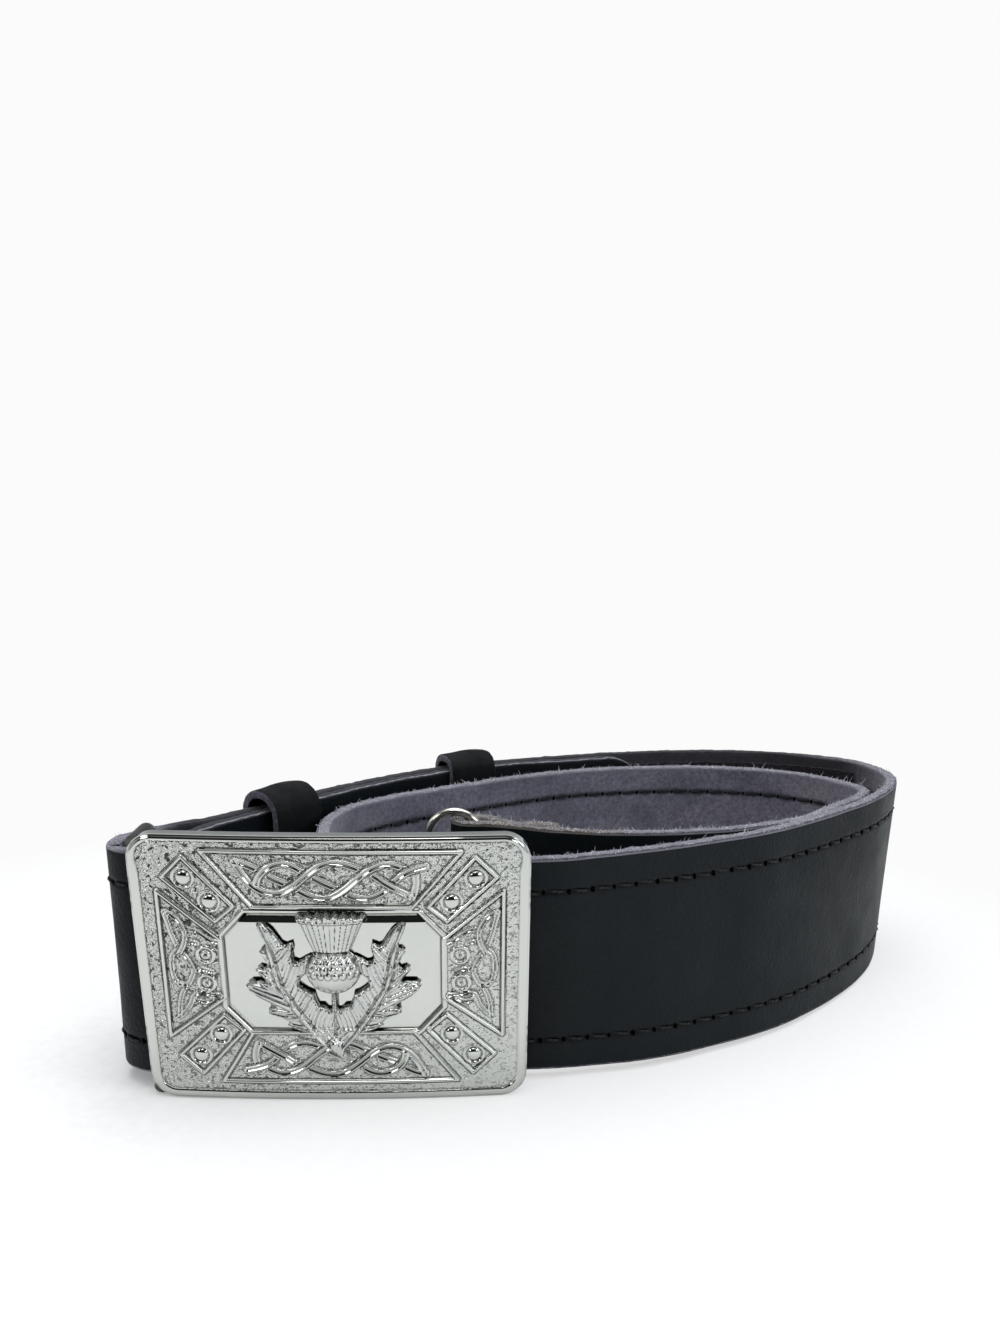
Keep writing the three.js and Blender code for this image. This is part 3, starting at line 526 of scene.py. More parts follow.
def strap_rings():
    """Corner frames of the strap from its tail to its folded end: foot, inward way and rise."""
    source = copy_node("strap", "strap_rings")
    mesh = source.data
    points = np.array([v.co for v in mesh.vertices]) / MM
    neighbours = [set() for _ in points]
    for edge in mesh.edges:
        a, b = edge.vertices
        neighbours[a].add(b)
        neighbours[b].add(a)
    front = set(end_groups(neighbours, points)[0])
    seen = set(front)
    rings = []
    while front:
        rings.append(points[sorted(front)])
        front = {j for i in front for j in neighbours[i]} - seen
        seen |= front
    bpy.data.objects.remove(source)
    middles = np.array([ring.mean(0) for ring in rings])
    feet, inward, rises = [], [], []
    for index, ring in enumerate(rings):
        way = middles[min(index + 1, len(rings) - 1)] - middles[max(index - 1, 0)]
        normal = np.array([way[1], -way[0], 0]) / np.hypot(way[0], way[1])
        order = ring[np.argsort(ring[:, 2])]
        low, high = order[:4], order[4:]
        low = low[np.argsort(low @ normal)]
        high = high[np.argsort(high @ normal)]
        rise = high[0] - low[0]
        across = low[3] - low[0]
        bevel = min((STRAP_WIDTH - np.linalg.norm(rise)) / 2, STRAP_BEVEL)
        unit = rise / np.linalg.norm(rise)
        feet.append(low[0] - unit * bevel)
        inward.append(across / np.linalg.norm(across))
        rises.append(rise + 2 * unit * bevel)
    return np.array(feet), np.array(inward), np.array(rises)


def smooth_rows(rows, count):
    """Rows between the given ones, on a curve through them all."""
    place = np.linspace(0, len(rows) - 1, count)
    start = np.minimum(place.astype(int), len(rows) - 2)
    share = (place - start)[:, None]
    before = rows[np.maximum(start - 1, 0)]
    after = rows[np.minimum(start + 2, len(rows) - 1)]
    a, b = rows[start], rows[start + 1]
    return 0.5 * (2 * a + (b - before) * share + (2 * before - 5 * a + 4 * b - after) * share ** 2
                  + (3 * a - before - 3 * b + after) * share ** 3)


class Band:
    """The strap as a smooth band, with places on it by the distance along it."""

    def __init__(self):
        feet, inward, rises = strap_rings()
        count = len(feet) * 8
        self.feet = smooth_rows(feet, count)
        self.inward = smooth_rows(inward, count)
        self.rises = smooth_rows(rises, count)
        middle = self.feet + self.rises / 2
        steps = np.linalg.norm(np.diff(middle, axis=0), axis=1)
        self.along = np.concatenate([[0], np.cumsum(steps)])
        self.length = self.along[-1]

    def pick(self, rows, along):
        return np.stack([np.interp(along, self.along, rows[:, k]) for k in range(3)], -1)

    def place(self, along, depth, height):
        """Points at distances along, depths in from the grain and heights as shares of the width."""
        along = np.asarray(along, float)
        inward = self.pick(self.inward, along)
        inward /= np.linalg.norm(inward, axis=-1, keepdims=True)
        depth = np.asarray(depth, float)[..., None]
        height = np.asarray(height, float)[..., None]
        return self.pick(self.feet, along) + inward * depth + self.pick(self.rises, along) * height


band = Band()

# Half of the band's section: heights up the grain face to the middle, then round the cut edge
FACE_HEIGHTS = [0.7, 1.6, 4.0, 6.8, 7.7, 8.1, 8.5, 8.9, 9.3, 10.2, 13.5, 20.0]
EDGE_ROUND = [(0.1, 0.3), (0.35, 0.08), (1.1, 0.0), (2.5, 0.0), (3.25, 0.08), (3.5, 0.3)]

# Sides of the section, the number of each one's material on the strap, and the two sewn faces:
# their side, their depth in from the grain and the way out of them
GRAIN, TOP_EDGE, FLESH, LOW_EDGE = range(4)
SIDE_MATERIAL = (0, 2, 1, 2)
SEWN_FACES = [(GRAIN, 0.0, -1), (FLESH, STRAP_THICKNESS, 1)]


def band_section():
    """Rows of depth, height and side, once round the section."""
    heights = FACE_HEIGHTS + [STRAP_WIDTH / 2] + [STRAP_WIDTH - h for h in reversed(FACE_HEIGHTS)]
    rows = []
    for h in heights:
        rows.append((groove_at(h), h, GRAIN))
    for depth, drop in EDGE_ROUND:
        rows.append((depth, STRAP_WIDTH - drop, TOP_EDGE))
    for h in reversed(heights):
        rows.append((STRAP_THICKNESS - groove_at(h), h, FLESH))
    for depth, drop in reversed(EDGE_ROUND):
        rows.append((depth, drop, LOW_EDGE))
    return rows


def groove_at(height):
    """Depth of the groove that the sewing pulls into a face."""
    off = min(abs(height - row) for row in STITCH_ROWS)
    return GROOVE_DEPTH * max(0.0, 1 - (off / GROOVE_HALF) ** 2)


def wander(along, height, side):
    """How far the soft leather stands in from a true band."""
    slow = noise.noise(Vector((along / 17, 3.1, 0)))
    lump = noise.noise(Vector((along / 12, height / 12, side)))
    return 0.1 * (slow + lump)


def make_strap():
    """The strap: its faces pressed in along the sewing, its cut edges rough, its bends uneven."""
    rows = band_section()
    sides = len(rows)
    count = int(band.length / BAND_STEP)
    along = np.linspace(0, band.length, count + 1)
    depth = np.array([row[0] for row in rows])
    height = np.array([row[1] for row in rows])
    side = np.array([row[2] for row in rows])
    grid_along = np.repeat(along[:, None], sides, 1)
    points = band.place(grid_along, np.repeat(depth[None], count + 1, 0),
                        np.repeat(height[None] / STRAP_WIDTH, count + 1, 0))
    inward = band.pick(band.inward, along)
    for ring in range(count + 1):
        for k in range(sides):
            point = points[ring, k]
            if side[k] in (TOP_EDGE, LOW_EDGE):
                rough = noise.noise(Vector((along[ring] / 1.9, depth[k] / 0.9, side[k] * 7)))
                slow = noise.noise(Vector((along[ring] / 9, side[k] * 5, 2)))
                point[2] += (0.26 * rough + 0.16 * slow) * (1 if side[k] == TOP_EDGE else 0.2)
            point[:] += inward[ring] * wander(along[ring], height[k], side[k])
    faces = []
    kinds = []
    for ring in range(count):
        for k in range(sides):
            other = (k + 1) % sides
            a, b = ring * sides + k, ring * sides + other
            faces.append((a, b, b + sides, a + sides))
            leaves_face = side[k] != side[other] and side[k] in (GRAIN, FLESH)
            kinds.append(SIDE_MATERIAL[side[other] if leaves_face else side[k]])
    faces.append(tuple(range(sides))[::-1])
    faces.append(tuple(range(count * sides, (count + 1) * sides)))
    kinds += [2, 2]
    piece = new_piece("strap_leather_band", points.reshape(-1, 3), faces)
    for material in (leather, suede, raw_edge):
        piece.data.materials.append(material)
    piece.data.polygons.foreach_set("material_index", kinds)
    across = np.where(np.isin(side, (TOP_EDGE, LOW_EDGE)), depth, height)
    add_uv(piece, np.stack([np.repeat(along, sides), np.tile(across, count + 1)], -1) * MM)
    return finish_piece(piece, leather, "strap_leather", "strap")


def tube(path, radii, sides, up):
    """Rings of a tube through a path, as points and faces from zero."""
    points = []
    for index, centre in enumerate(path):
        way = path[min(index + 1, len(path) - 1)] - path[max(index - 1, 0)]
        way /= np.linalg.norm(way)
        first = np.cross(way, up)
        first /= np.linalg.norm(first)
        second = np.cross(way, first)
        for k in range(sides):
            angle = 2 * math.pi * k / sides
            points.append(centre + radii[index] * (first * math.cos(angle) + second * math.sin(angle)))
    faces = []
    for ring in range(len(path) - 1):
        for k in range(sides):
            a, b = ring * sides + k, ring * sides + (k + 1) % sides
            faces.append((a, a + sides, b + sides, b))
    faces.append(tuple(range(sides)))
    faces.append(tuple(range((len(path) - 1) * sides, len(path) * sides))[::-1])
    return points, faces


def make_stitches():
    """Two rows of sewing through the strap, seen on both of its faces."""
    steps = np.linspace(0, 1, 8)
    arch = np.sin(math.pi * steps) ** 0.6
    points, faces, marks = [], [], []
    for _, surface, outward in SEWN_FACES:
        for row in STITCH_ROWS:
            for index in range(1, int(band.length / STITCH_PITCH) - 1):
                along = STITCH_PITCH * (index + 0.13 + 0.74 * steps)
                lift = outward * (-0.55 + 0.62 * arch + 0.06 * rng.normal())
                slant = (steps - 0.5) * 0.5 + 0.12 * rng.normal()
                path = band.place(along, surface + lift, (row + slant) / STRAP_WIDTH)
                radii = THREAD_RADIUS * (0.8 + 0.2 * arch)
                add_part(points, faces, *tube(path, radii, THREAD_SIDES, np.array([0, 0, 1.0])))
                marks.extend((step * STITCH_PITCH, k / 3) for step in steps for k in range(THREAD_SIDES))
    piece = new_piece("strap_stitching", points, faces)
    add_uv(piece, marks)
    return finish_piece(piece, thread, "strap_leather")


def make_holes():
    """The pierced holes between the stitches: a thin six-sided plug of painted shade lies on the leather at
    each.
    """
    points, faces = [], []
    turns = np.arange(HOLE_SIDES) * 2 * math.pi / HOLE_SIDES
    front = list(range(HOLE_SIDES))
    plug = [front, [k + HOLE_SIDES for k in front[::-1]]]
    plug += [(b, a, a + HOLE_SIDES, b + HOLE_SIDES) for a, b in zip(front, front[1:] + front[:1])]
    for side, surface, outward in SEWN_FACES:
        for row in STITCH_ROWS:
            for index in range(1, int(band.length / STITCH_PITCH)):
                size = HOLE_HALF * (1 if side == GRAIN else 0.75) * (1 + 0.12 * rng.normal())
                along = index * STITCH_PITCH + 0.9 * size * np.sin(turns) + 0.1 * rng.normal()
                height = row + 1.25 * size * np.cos(turns) + 0.12 * np.sin(turns)
                dent = [groove_at(h) - outward * wander(a, h, side) for a, h in zip(along, height)]
                top = surface - outward * np.array(dent) + outward * 0.05
                depths = (top, top - outward * 0.3)
                ends = [band.place(along, depth, height / STRAP_WIDTH) for depth in depths]
                add_part(points, faces, np.concatenate(ends), plug)
    piece = new_piece("strap_stitch_holes", points, faces, smooth=False)
    start_editing(piece)
    bpy.ops.mesh.normals_make_consistent(inside=False)
    stop_editing()
    return finish_piece(piece, hole_shade, "strap_leather")


def make_fibres():
    """Short fibres on the cut edges, thickest at the front and at the folded end."""
    points, faces = [], []
    end = band.length - 1
    starts = [rng.uniform(BACK_END, end, FIBRES), rng.uniform(LAST_RUN, end, FIBRES_LAST_RUN),
              rng.uniform(FOLD_AT - 20, FOLD_AT + 20, FIBRES_FOLD)]
    for along in np.concatenate(starts):
        depth = rng.uniform(0.1, STRAP_THICKNESS - 0.1)
        foot = band.place([along], [depth], [(STRAP_WIDTH - 0.15) / STRAP_WIDTH])[0]
        length = min(0.25 + rng.exponential(0.28), 1.7)
        lean = rng.normal(0, 0.55, 2)
        way = np.array([lean[0], lean[1], rng.uniform(0.25, 1.0)])
        way /= np.linalg.norm(way)
        curl = rng.normal(0, 0.35, 3)
        path = np.array([foot + way * length * t + curl * length * t * t for t in (0, 0.5, 1)])
        add_part(points, faces, *tube(path, FIBRE_RADII, 3, np.array([0.3, 0.8, 0.1])))
    return finish_piece(new_piece("strap_edge_fibres", points, faces), fibre, "strap_leather")


# Keepers: a band of soft leather round the strap and its tail, arched over their top edges

def keeper_profile(width, height, shoulder, foot):
    """Outline of a keeper's end: narrow rounds at its foot and a high arch on its top."""
    points = []
    for across, up, start, radius in (
            (width / 2 - foot, foot, -90, foot),
            (width / 2 - shoulder, height - shoulder, 0, shoulder),
            (shoulder - width / 2, height - shoulder, 90, shoulder),
            (foot - width / 2, foot, 180, foot)):
        for step in range(9):
            angle = math.radians(start + 90 * step / 8)
            points.append((across + radius * math.cos(angle), up + radius * math.sin(angle)))
    return points


def keeper_shell(name, outline, height, length):
    """The outline drawn out along the strap, given its wall and rounded."""
    mesh = bpy.data.meshes.new(name)
    count = len(outline)
    mesh.from_pydata(
        [(x * MM, -length / 2 * MM, z * MM) for x, z in outline],
        [(k, (k + 1) % count) for k in range(count)], [])
    piece = link_piece(name, mesh)
    start_editing(piece)
    for _ in range(KEEPER_STEPS):
        move = (0, length / KEEPER_STEPS * MM, 0)
        bpy.ops.mesh.extrude_region_move(TRANSFORM_OT_translate={"value": move})
    bpy.ops.mesh.select_all(action="SELECT")
    bpy.ops.mesh.normals_make_consistent(inside=False)
    stop_editing()
    middle = Vector((0, 0, height / 2 * MM))
    if sum(face.normal.dot(face.center - middle) for face in mesh.polygons) < 0:
        mesh.flip_normals()
    apply_modifier(piece, "SOLIDIFY", thickness=KEEPER_WALL * MM, offset=-1.0)
    apply_modifier(
        piece, "BEVEL", width=0.4 * MM, segments=2, limit_method="ANGLE", angle_limit=math.radians(50))
    apply_modifier(piece, "SUBSURF", levels=1, render_levels=1)
    return piece


def crumple_keeper(piece, height, length):
    """Soft dents all over, a bowed top and frayed ends."""
    for vertex in piece.data.vertices:
        co = vertex.co / MM
        top = smooth_step(co.z / height, 0.8, 1.0)
        bow = 1 - (2 * co.y / length) ** 2
        crush = noise.noise(Vector((co.x / 7, co.y / 8, co.z / 11)))
        at_end = abs(co.y) > 0.46 * length
        fray = noise.noise(Vector((co.x / 1.1, co.z / 1.1, co.y))) if at_end else 0
        vertex.co += MM * Vector((
            math.copysign(1, co.x) * (0.25 * crush - 0.1),
            0.16 * fray + 0.5 * top * crush,
            top * (0.5 * bow + 0.3 * crush - 0.4)))


def make_keeper(node, name, shoulder, slack):
    """A keeper on its CAD node's place, square to the strap there."""
    low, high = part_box(node)
    middle = np.array((low + high) / 2) / MM
    spots = band.feet + band.rises / 2
    near = np.argmin(np.linalg.norm((spots - middle)[:, :2], axis=1))
    way = spots[near + 4] - spots[near - 4]
    way[2] = 0
    way /= np.linalg.norm(way)
    normal = np.array([way[1], -way[0], 0])
    points = np.array([v.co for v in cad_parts[node].data.vertices]) / MM
    least = [(points @ axis).min() for axis in (normal, way)]
    most = [(points @ axis).max() for axis in (normal, way)]
    width, length = most[0] - least[0], most[1] - least[1]
    height = points[:, 2].max() + slack
    piece = keeper_shell(
        name, keeper_profile(width - 0.5, height, shoulder, KEEPER_WALL + 0.3), height, length)
    crumple_keeper(piece, height, length)
    mesh = piece.data
    mesh.materials.append(keeper_leather)
    mesh.materials.append(keeper_edge)
    shade_faces(piece)
    mesh.polygons.foreach_set("material_index", [int(abs(face.normal.y) > 0.6) for face in mesh.polygons])
    centre = normal * (least[0] + most[0]) / 2 + way * (least[1] + most[1]) / 2
    piece.matrix_world = Matrix((
        (normal[0], way[0], 0, centre[0] * MM),
        (normal[1], way[1], 0, centre[1] * MM),
        (0, 0, 1, 0),
        (0, 0, 0, 1)))
    mirrored = piece.matrix_world.to_3x3().determinant() < 0
    apply_place(piece)
    if mirrored:
        piece.data.flip_normals()
    return finish_piece(piece, keeper_leather, "keeper_leather", node)


def make_tape():
    """Loop tape: the sewn strip, its edges rounded and its pile raised along the top."""
    piece = copy_node("loop_tape", "loop_pile_strip")
    apply_modifier(
        piece, "BEVEL", width=0.2 * MM, segments=2, limit_method="ANGLE", angle_limit=math.radians(40))
    start_editing(piece)
    bpy.ops.mesh.subdivide(number_cuts=3)
    stop_editing()
    for vertex in piece.data.vertices:
        co = vertex.co / MM
        vertex.co.z += 0.35 * MM * noise.noise(Vector((co.x / 1.3, co.y / 1.3, co.z / 3)))
    shade_faces(piece)
    piece.data.materials.clear()
    return finish_piece(piece, pile, "tape_pile", "loop_tape")


# Ring and bar, from round stock

def make_ring():
    """A tall ring: a torus cut at its middle height and drawn apart."""
    low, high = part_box("end_ring")
    height = (high.z - low.z) / MM
    stretch = height - RING_WIDTH
    deselect()
    bpy.ops.mesh.primitive_torus_add(
        major_segments=72, minor_segments=20, rotation=(math.pi / 2, 0, 0),
        major_radius=(RING_WIDTH - RING_WIRE) / 2 * MM, minor_radius=RING_WIRE / 2 * MM)
    piece = bpy.context.object
    piece.name = "end_ring_wire"
    apply_place(piece)
    for vertex in piece.data.vertices:
        way = math.copysign(1, vertex.co.z) if abs(vertex.co.z) > 1e-7 else 1
        vertex.co.z += way * stretch / 2 * MM
    piece.location = (low + high) / 2
    apply_place(piece)
    bpy.ops.object.shade_smooth()
    return finish_piece(piece, nickel, "ring_nickel", "end_ring")


def set_on_plate(piece, place=(0, 0, 0)):
    """Moves a piece from the plate's own frame, across, back and up, to its place on the belt."""
    turned = Matrix.Translation(PLATE_MIDDLE * MM) @ Matrix.Rotation(PLATE_YAW, 4, "Z")
    piece.matrix_world = turned @ Matrix.Translation(Vector(place) * MM)
    apply_place(piece)


def face_back(across):
    """How far the plate's face stands back of its chord's front, across the plate."""
    return PLATE_BULGE * ((2 * across / PLATE_WIDTH) ** 2 - 1)


def make_bar():
    """The wire that the strap turns on, bent out of the plate at its top and foot."""
    x = BAR_INSET - HALF_W
    low, high = BAR_RADIUS, PLATE_HEIGHT - 2.8
    root = face_back(x) + PLATE_THICKNESS / 2
    turns = [math.pi / 2 * step / 8 for step in range(9)]
    bend = [
        (BAR_BACK - BAR_CORNER * (1 - math.cos(turn)), BAR_CORNER * (1 - math.sin(turn))) for turn in turns]
    points = [(x, root, high)] + [(x, back, high - drop) for back, drop in reversed(bend)]
    points += [(x, back, low + drop) for back, drop in bend] + [(x, root, low)]
    curve = bpy.data.curves.new("buckle_bar", "CURVE")
    curve.dimensions = "3D"
    curve.bevel_depth = BAR_RADIUS * MM
    curve.bevel_resolution = 6
    curve.use_fill_caps = True
    spline = curve.splines.new("POLY")
    spline.points.add(len(points) - 1)
    for target, point in zip(spline.points, points):
        target.co = (point[0] * MM, point[1] * MM, point[2] * MM, 1)
    make_active(link_piece("buckle_bar", curve))
    bpy.ops.object.convert(target="MESH")
    piece = bpy.context.object
    set_on_plate(piece)
    bpy.ops.object.shade_smooth()
    return finish_piece(piece, dark_steel, "buckle_chrome")


def make_hook():
    """The tongue on the back that takes the ring: a strip out of the plate, turned sideways."""
    root = HALF_W - HOOK_INSET
    back = face_back(root) + PLATE_THICKNESS
    deselect()
    bpy.ops.mesh.primitive_cube_add(size=1)
    piece = bpy.context.object
    piece.name = "buckle_hook"
    piece.scale = (HOOK_THICKNESS * MM, (HOOK_REACH + HOOK_ROOT - HOOK_THICKNESS) * MM, HOOK_WIDTH * MM)
    piece.location = (
        (root + HOOK_THICKNESS / 2) * MM,
        (back + (HOOK_REACH - HOOK_ROOT - HOOK_THICKNESS) / 2) * MM,
        HALF_H * MM)
    apply_place(piece)
    for way, reach in (("y", HOOK_THICKNESS), ("x", HOOK_LENGTH - HOOK_THICKNESS)):
        far = max(getattr(vertex.co, way) for vertex in piece.data.vertices)
        level = max(vertex.co.y for vertex in piece.data.vertices) - HOOK_THICKNESS * 1.1 * MM
        for face in piece.data.polygons:
            face.select = getattr(face.center, way) > far - 0.00001 and (way == "y" or face.center.y > level)
        bpy.context.tool_settings.mesh_select_mode = (False, False, True)
        bpy.ops.object.mode_set(mode="EDIT")
        move = {"x": (reach * MM, 0, 0), "y": (0, reach * MM, 0)}[way]
        bpy.ops.mesh.extrude_region_move(TRANSFORM_OT_translate={"value": move})
        bpy.ops.mesh.select_all(action="DESELECT")
        stop_editing()
    bpy.context.tool_settings.mesh_select_mode = (True, False, False)
    apply_modifier(piece, "BEVEL", width=0.4 * MM, segments=3, limit_method="ANGLE")
    set_on_plate(piece)
    bpy.ops.object.shade_smooth()
    return finish_piece(piece, dark_steel, "buckle_chrome")


# Cast relief: heights over the plate's ground, in millimetres, at points of the plate

def segment_distance(x, y, a, b):
    """Distance of every point from the segment a to b, and the share of the way along it."""
    dx, dy = b[0] - a[0], b[1] - a[1]
    share = np.clip(((x - a[0]) * dx + (y - a[1]) * dy) / (dx * dx + dy * dy + 1e-12), 0, 1)
    return np.hypot(x - a[0] - share * dx, y - a[1] - share * dy), share


def line_distance(x, y, points, closed=False, values=None):
    """Distance from a run of points, and the value given along it at the nearest place."""
    best = np.full(x.shape, 1e9)
    found = np.zeros(x.shape)
    run = list(range(len(points)))
    pairs = list(zip(run, run[1:])) + ([(run[-1], 0)] if closed else [])
    for i, j in pairs:
        distance, share = segment_distance(x, y, points[i], points[j])
        nearer = distance < best
        best = np.where(nearer, distance, best)
        if values is not None:
            found = np.where(nearer, values[i] + (values[j] - values[i]) * share, found)
    return best, found


def inside_polygon(x, y, points):
    inside = np.zeros(x.shape, bool)
    for (ax, ay), (bx, by) in zip(points, points[1:] + points[:1]):
        crosses = (ay > y) != (by > y)
        at = ax + (y - ay) * (bx - ax) / ((by - ay) if by != ay else 1e-9)
        inside ^= crosses & (x < at)
    return inside


def signed_distance(x, y, points):
    """Distance from a polygon's outline, negative inside it."""
    distance = line_distance(x, y, points, closed=True)[0]
    return np.where(inside_polygon(x, y, points), -distance, distance)


def ridge(distance, half, height):
    """A rounded ridge of a half width and a height."""
    return height * np.sqrt(np.clip(1 - (distance / half) ** 2, 0, 1))


def flat_ridge(distance, half, height):
    """A ridge with a flat top."""
    return height * np.clip(1 - (distance / half) ** 4, 0, 1)


# Frames on the plate's face, across and up from its middle, and their ridge
TOP_PANEL = [(-29.2, 30.3), (30.4, 30.1), (18.8, 16.8), (-18.2, 16.9)]
LOW_PANEL = [(-28.2, -28.9), (29.4, -28.9), (18.8, -15.2), (-20.0, -15.4)]
SIDE_PANEL = [(40.2, 20.4), (40.3, -16.9), (26.0, -6.2), (26.0, 8.6)]
CORNER_BARS = [
    [(33.6, 28.8), (38.6, 23.8), (27.0, 13.2), (22.6, 16.9)],
    [(33.2, -27.0), (38.4, -22.0), (26.8, -10.9), (22.2, -14.9)]]
FRAME_HALF, FRAME_RISE = 0.52, 0.75

# Dots of the corner bars: a round boss with a fine ring about it
BOSSES = [(33.7, 23.7), (28.1, 18.0), (33.4, -22.0), (28.0, -16.2)]
BOSS_RADIUS, BOSS_RISE = 1.75, 0.75
COLLAR_RADIUS, COLLAR_HALF, COLLAR_RISE = 2.4, 0.38, 0.4
WINDOW = [
    (20, 15.2), (25.6, 9.2), (25.6, -8.6), (20, -14.8),
    (-20, -14.8), (-25.6, -8.6), (-25.6, 9.2), (-20, 15.2)]

# Plait in the top panel. Columns: across, up, and 1 where the strand passes over, -1 under
PLAIT = [
    [(-21.5, 28.0, 0), (-20.4, 26.1, 0), (-19.1, 23.9, 0), (-17.4, 22.1, 0), (-15.3, 20.8, 0),
     (-13.0, 20.3, 0), (-10.7, 20.7, 1), (-8.5, 22.0, 1), (-6.2, 23.9, 1), (-4.4, 25.4, 1),
     (-2.3, 26.9, 0), (-0.1, 27.7, 0), (2.2, 27.7, 0), (4.4, 27.2, 0), (6.7, 26.3, -1),
     (8.2, 25.5, -1), (10.5, 24.6, 0), (12.5, 23.1, 1), (15.1, 21.5, 1), (17.4, 20.2, 0), (18.9, 19.2, 0)],
    [(-21.5, 28.0, 0), (-19.1, 27.3, 0), (-16.9, 26.3, -1), (-15.2, 25.3, -1), (-14.0, 24.5, -1),
     (-11.7, 23.4, 0), (-9.5, 22.4, -1), (-8.2, 21.7, -1), (-6.9, 21.0, 0), (-4.9, 19.9, 0),
     (-3.0, 19.3, 0), (-0.7, 19.2, 0), (1.5, 20.1, 1), (3.8, 21.7, 1), (6.0, 23.6, 0),
     (8.0, 25.3, 1), (9.9, 26.5, 1), (12.2, 27.3, 0), (14.4, 27.3, 0), (16.4, 26.6, -1), (17.4, 26.0, -1)],
    [(-16.7, 22.6, 0), (-16.1, 24.3, 1), (-14.6, 26.0, 1), (-12.4, 27.2, 0), (-10.1, 27.5, 0),
     (-7.8, 26.8, 0), (-5.6, 25.3, -1), (-3.6, 24.1, -1), (-1.1, 22.8, 0), (1.5, 21.6, -1),
     (3.2, 20.6, -1), (4.6, 19.9, 0), (6.0, 19.4, 0), (8.0, 19.2, 0), (10.2, 19.7, 0),
     (12.5, 20.9, -1), (14.4, 22.8, -1), (16.4, 24.6, 1), (18.6, 25.8, 1), (22.3, 26.8, 0)],
    [(18.9, 19.2, 0), (19.7, 21.4, 0), (19.9, 23.4, 0), (19.5, 25.4, -1)]]

# Knot in the panel on the right, by the same columns
SIDE_KNOT = [
    [(38.9, 15.3, 0), (37.0, 14.5, 0), (35.3, 12.5, 0), (34.4, 9.8, 1), (34.9, 7.2, 1), (36.0, 5.2, 0)],
    [(38.9, 15.3, 0), (38.2, 12.4, 0), (37.4, 9.2, 0), (36.2, 6.2, -1), (34.4, 3.6, 0), (32.7, 0.8, 0),
     (31.0, 1.0, 0), (28.6, 0.2, 0)],
    [(34.0, 10.9, -1), (31.8, 10.7, 0), (29.8, 9.4, 0), (28.3, 8.3, 0), (26.9, 8.0, 0)],
    [(35.4, 7.1, -1), (33.4, 7.9, 0), (31.8, 7.5, 0)],
    [(36.4, 5.8, 0), (37.9, 4.4, 0), (38.3, 1.4, 0), (37.9, -1.6, 0), (36.6, -3.2, 0)],
    [(36.8, -2.8, 0), (35.0, -3.2, 0), (33.8, -1.4, 1), (33.2, 0.8, 1), (34.4, 3.4, -1)],
    [(33.4, -0.6, -1), (34.6, -2.6, -1), (36.2, -5.0, 0), (37.2, -8.2, 0), (37.5, -11.6, 0)],
    [(37.5, -11.6, 0), (36.2, -10.3, 0), (34.7, -8.4, 0), (33.6, -5.9, 0), (31.4, -5.3, 0), (29.2, -5.6, 0),
     (27.1, -5.8, 0)],
    [(35.1, -5.5, -1), (32.9, -7.2, 0), (30.9, -7.5, 0), (29.3, -6.7, 0)]]
CURLS = [(30.0, 4.6), (30.3, -2.6)]
CURL_RINGS = [(2.0, 0.5, 0.5), (0.75, 0.4, 0.45)]

# Half widths and rises of the strands, and the channel along them
PLAIT_HALF, PLAIT_RISE = 1.0, 0.85
KNOT_HALF, KNOT_RISE = 0.75, 0.7
CHANNEL_DEPTH, CHANNEL_SHARE = 0.5, 0.42


def curve_through(rows, parts=4):
    return smooth_rows(np.array(rows, float), (len(rows) - 1) * parts + 1)


def woven(x, y, strands, half, height):
    """Height of strands over the ground: channelled bands that pass over and under each other."""
    distances, levels = [], []
    for rows in strands:
        curve = curve_through(rows)
        distance, level = line_distance(x, y, curve[:, :2], values=curve[:, 2])
        distances.append(distance)
        levels.append(level)
    total = np.zeros(x.shape)
    for k, distance in enumerate(distances):
        flat = np.clip(1 - (distance / half) ** 6, 0, 1)
        channel = CHANNEL_DEPTH * np.exp(-(distance / (half * CHANNEL_SHARE)) ** 2)
        own = flat * (height - channel + 0.15 * levels[k])
        for other, far in enumerate(distances):
            over = levels[other] > levels[k] + 0.2
            own = np.where(over, own * smooth_step(far, half, half + 0.35), own)
        total = np.maximum(total, own)
    return total


def plate_edge(x, y):
    """Distance in from the plate's rounded outline."""
    corner_x = np.maximum(np.abs(x) - (HALF_W - PLATE_CORNER), 0)
    corner_y = np.maximum(np.abs(y) - (HALF_H - PLATE_CORNER), 0)
    edge = PLATE_CORNER - np.hypot(corner_x, corner_y)
    return np.minimum(edge, np.minimum(HALF_W - np.abs(x), HALF_H - np.abs(y)))


def plate_ornament(x, y):
    """Height of the plaits at the top and foot, and of the knots and curls at the sides."""
    plait = woven(x, y, PLAIT, PLAIT_HALF, PLAIT_RISE)
    turned = woven(-x, 1.1 - y, PLAIT, PLAIT_HALF, PLAIT_RISE)
    knot = woven(np.abs(x), y, SIDE_KNOT, KNOT_HALF, KNOT_RISE)
    ornament = np.maximum(np.maximum(plait, np.where(y < -14.9, turned, 0)), knot)
    for cx, cy in CURLS:
        away = np.hypot(np.abs(x) - cx, y - cy)
        for radius, half, rise in CURL_RINGS:
            ornament = np.maximum(ornament, ridge(np.abs(away - radius), half, rise))
    return ornament


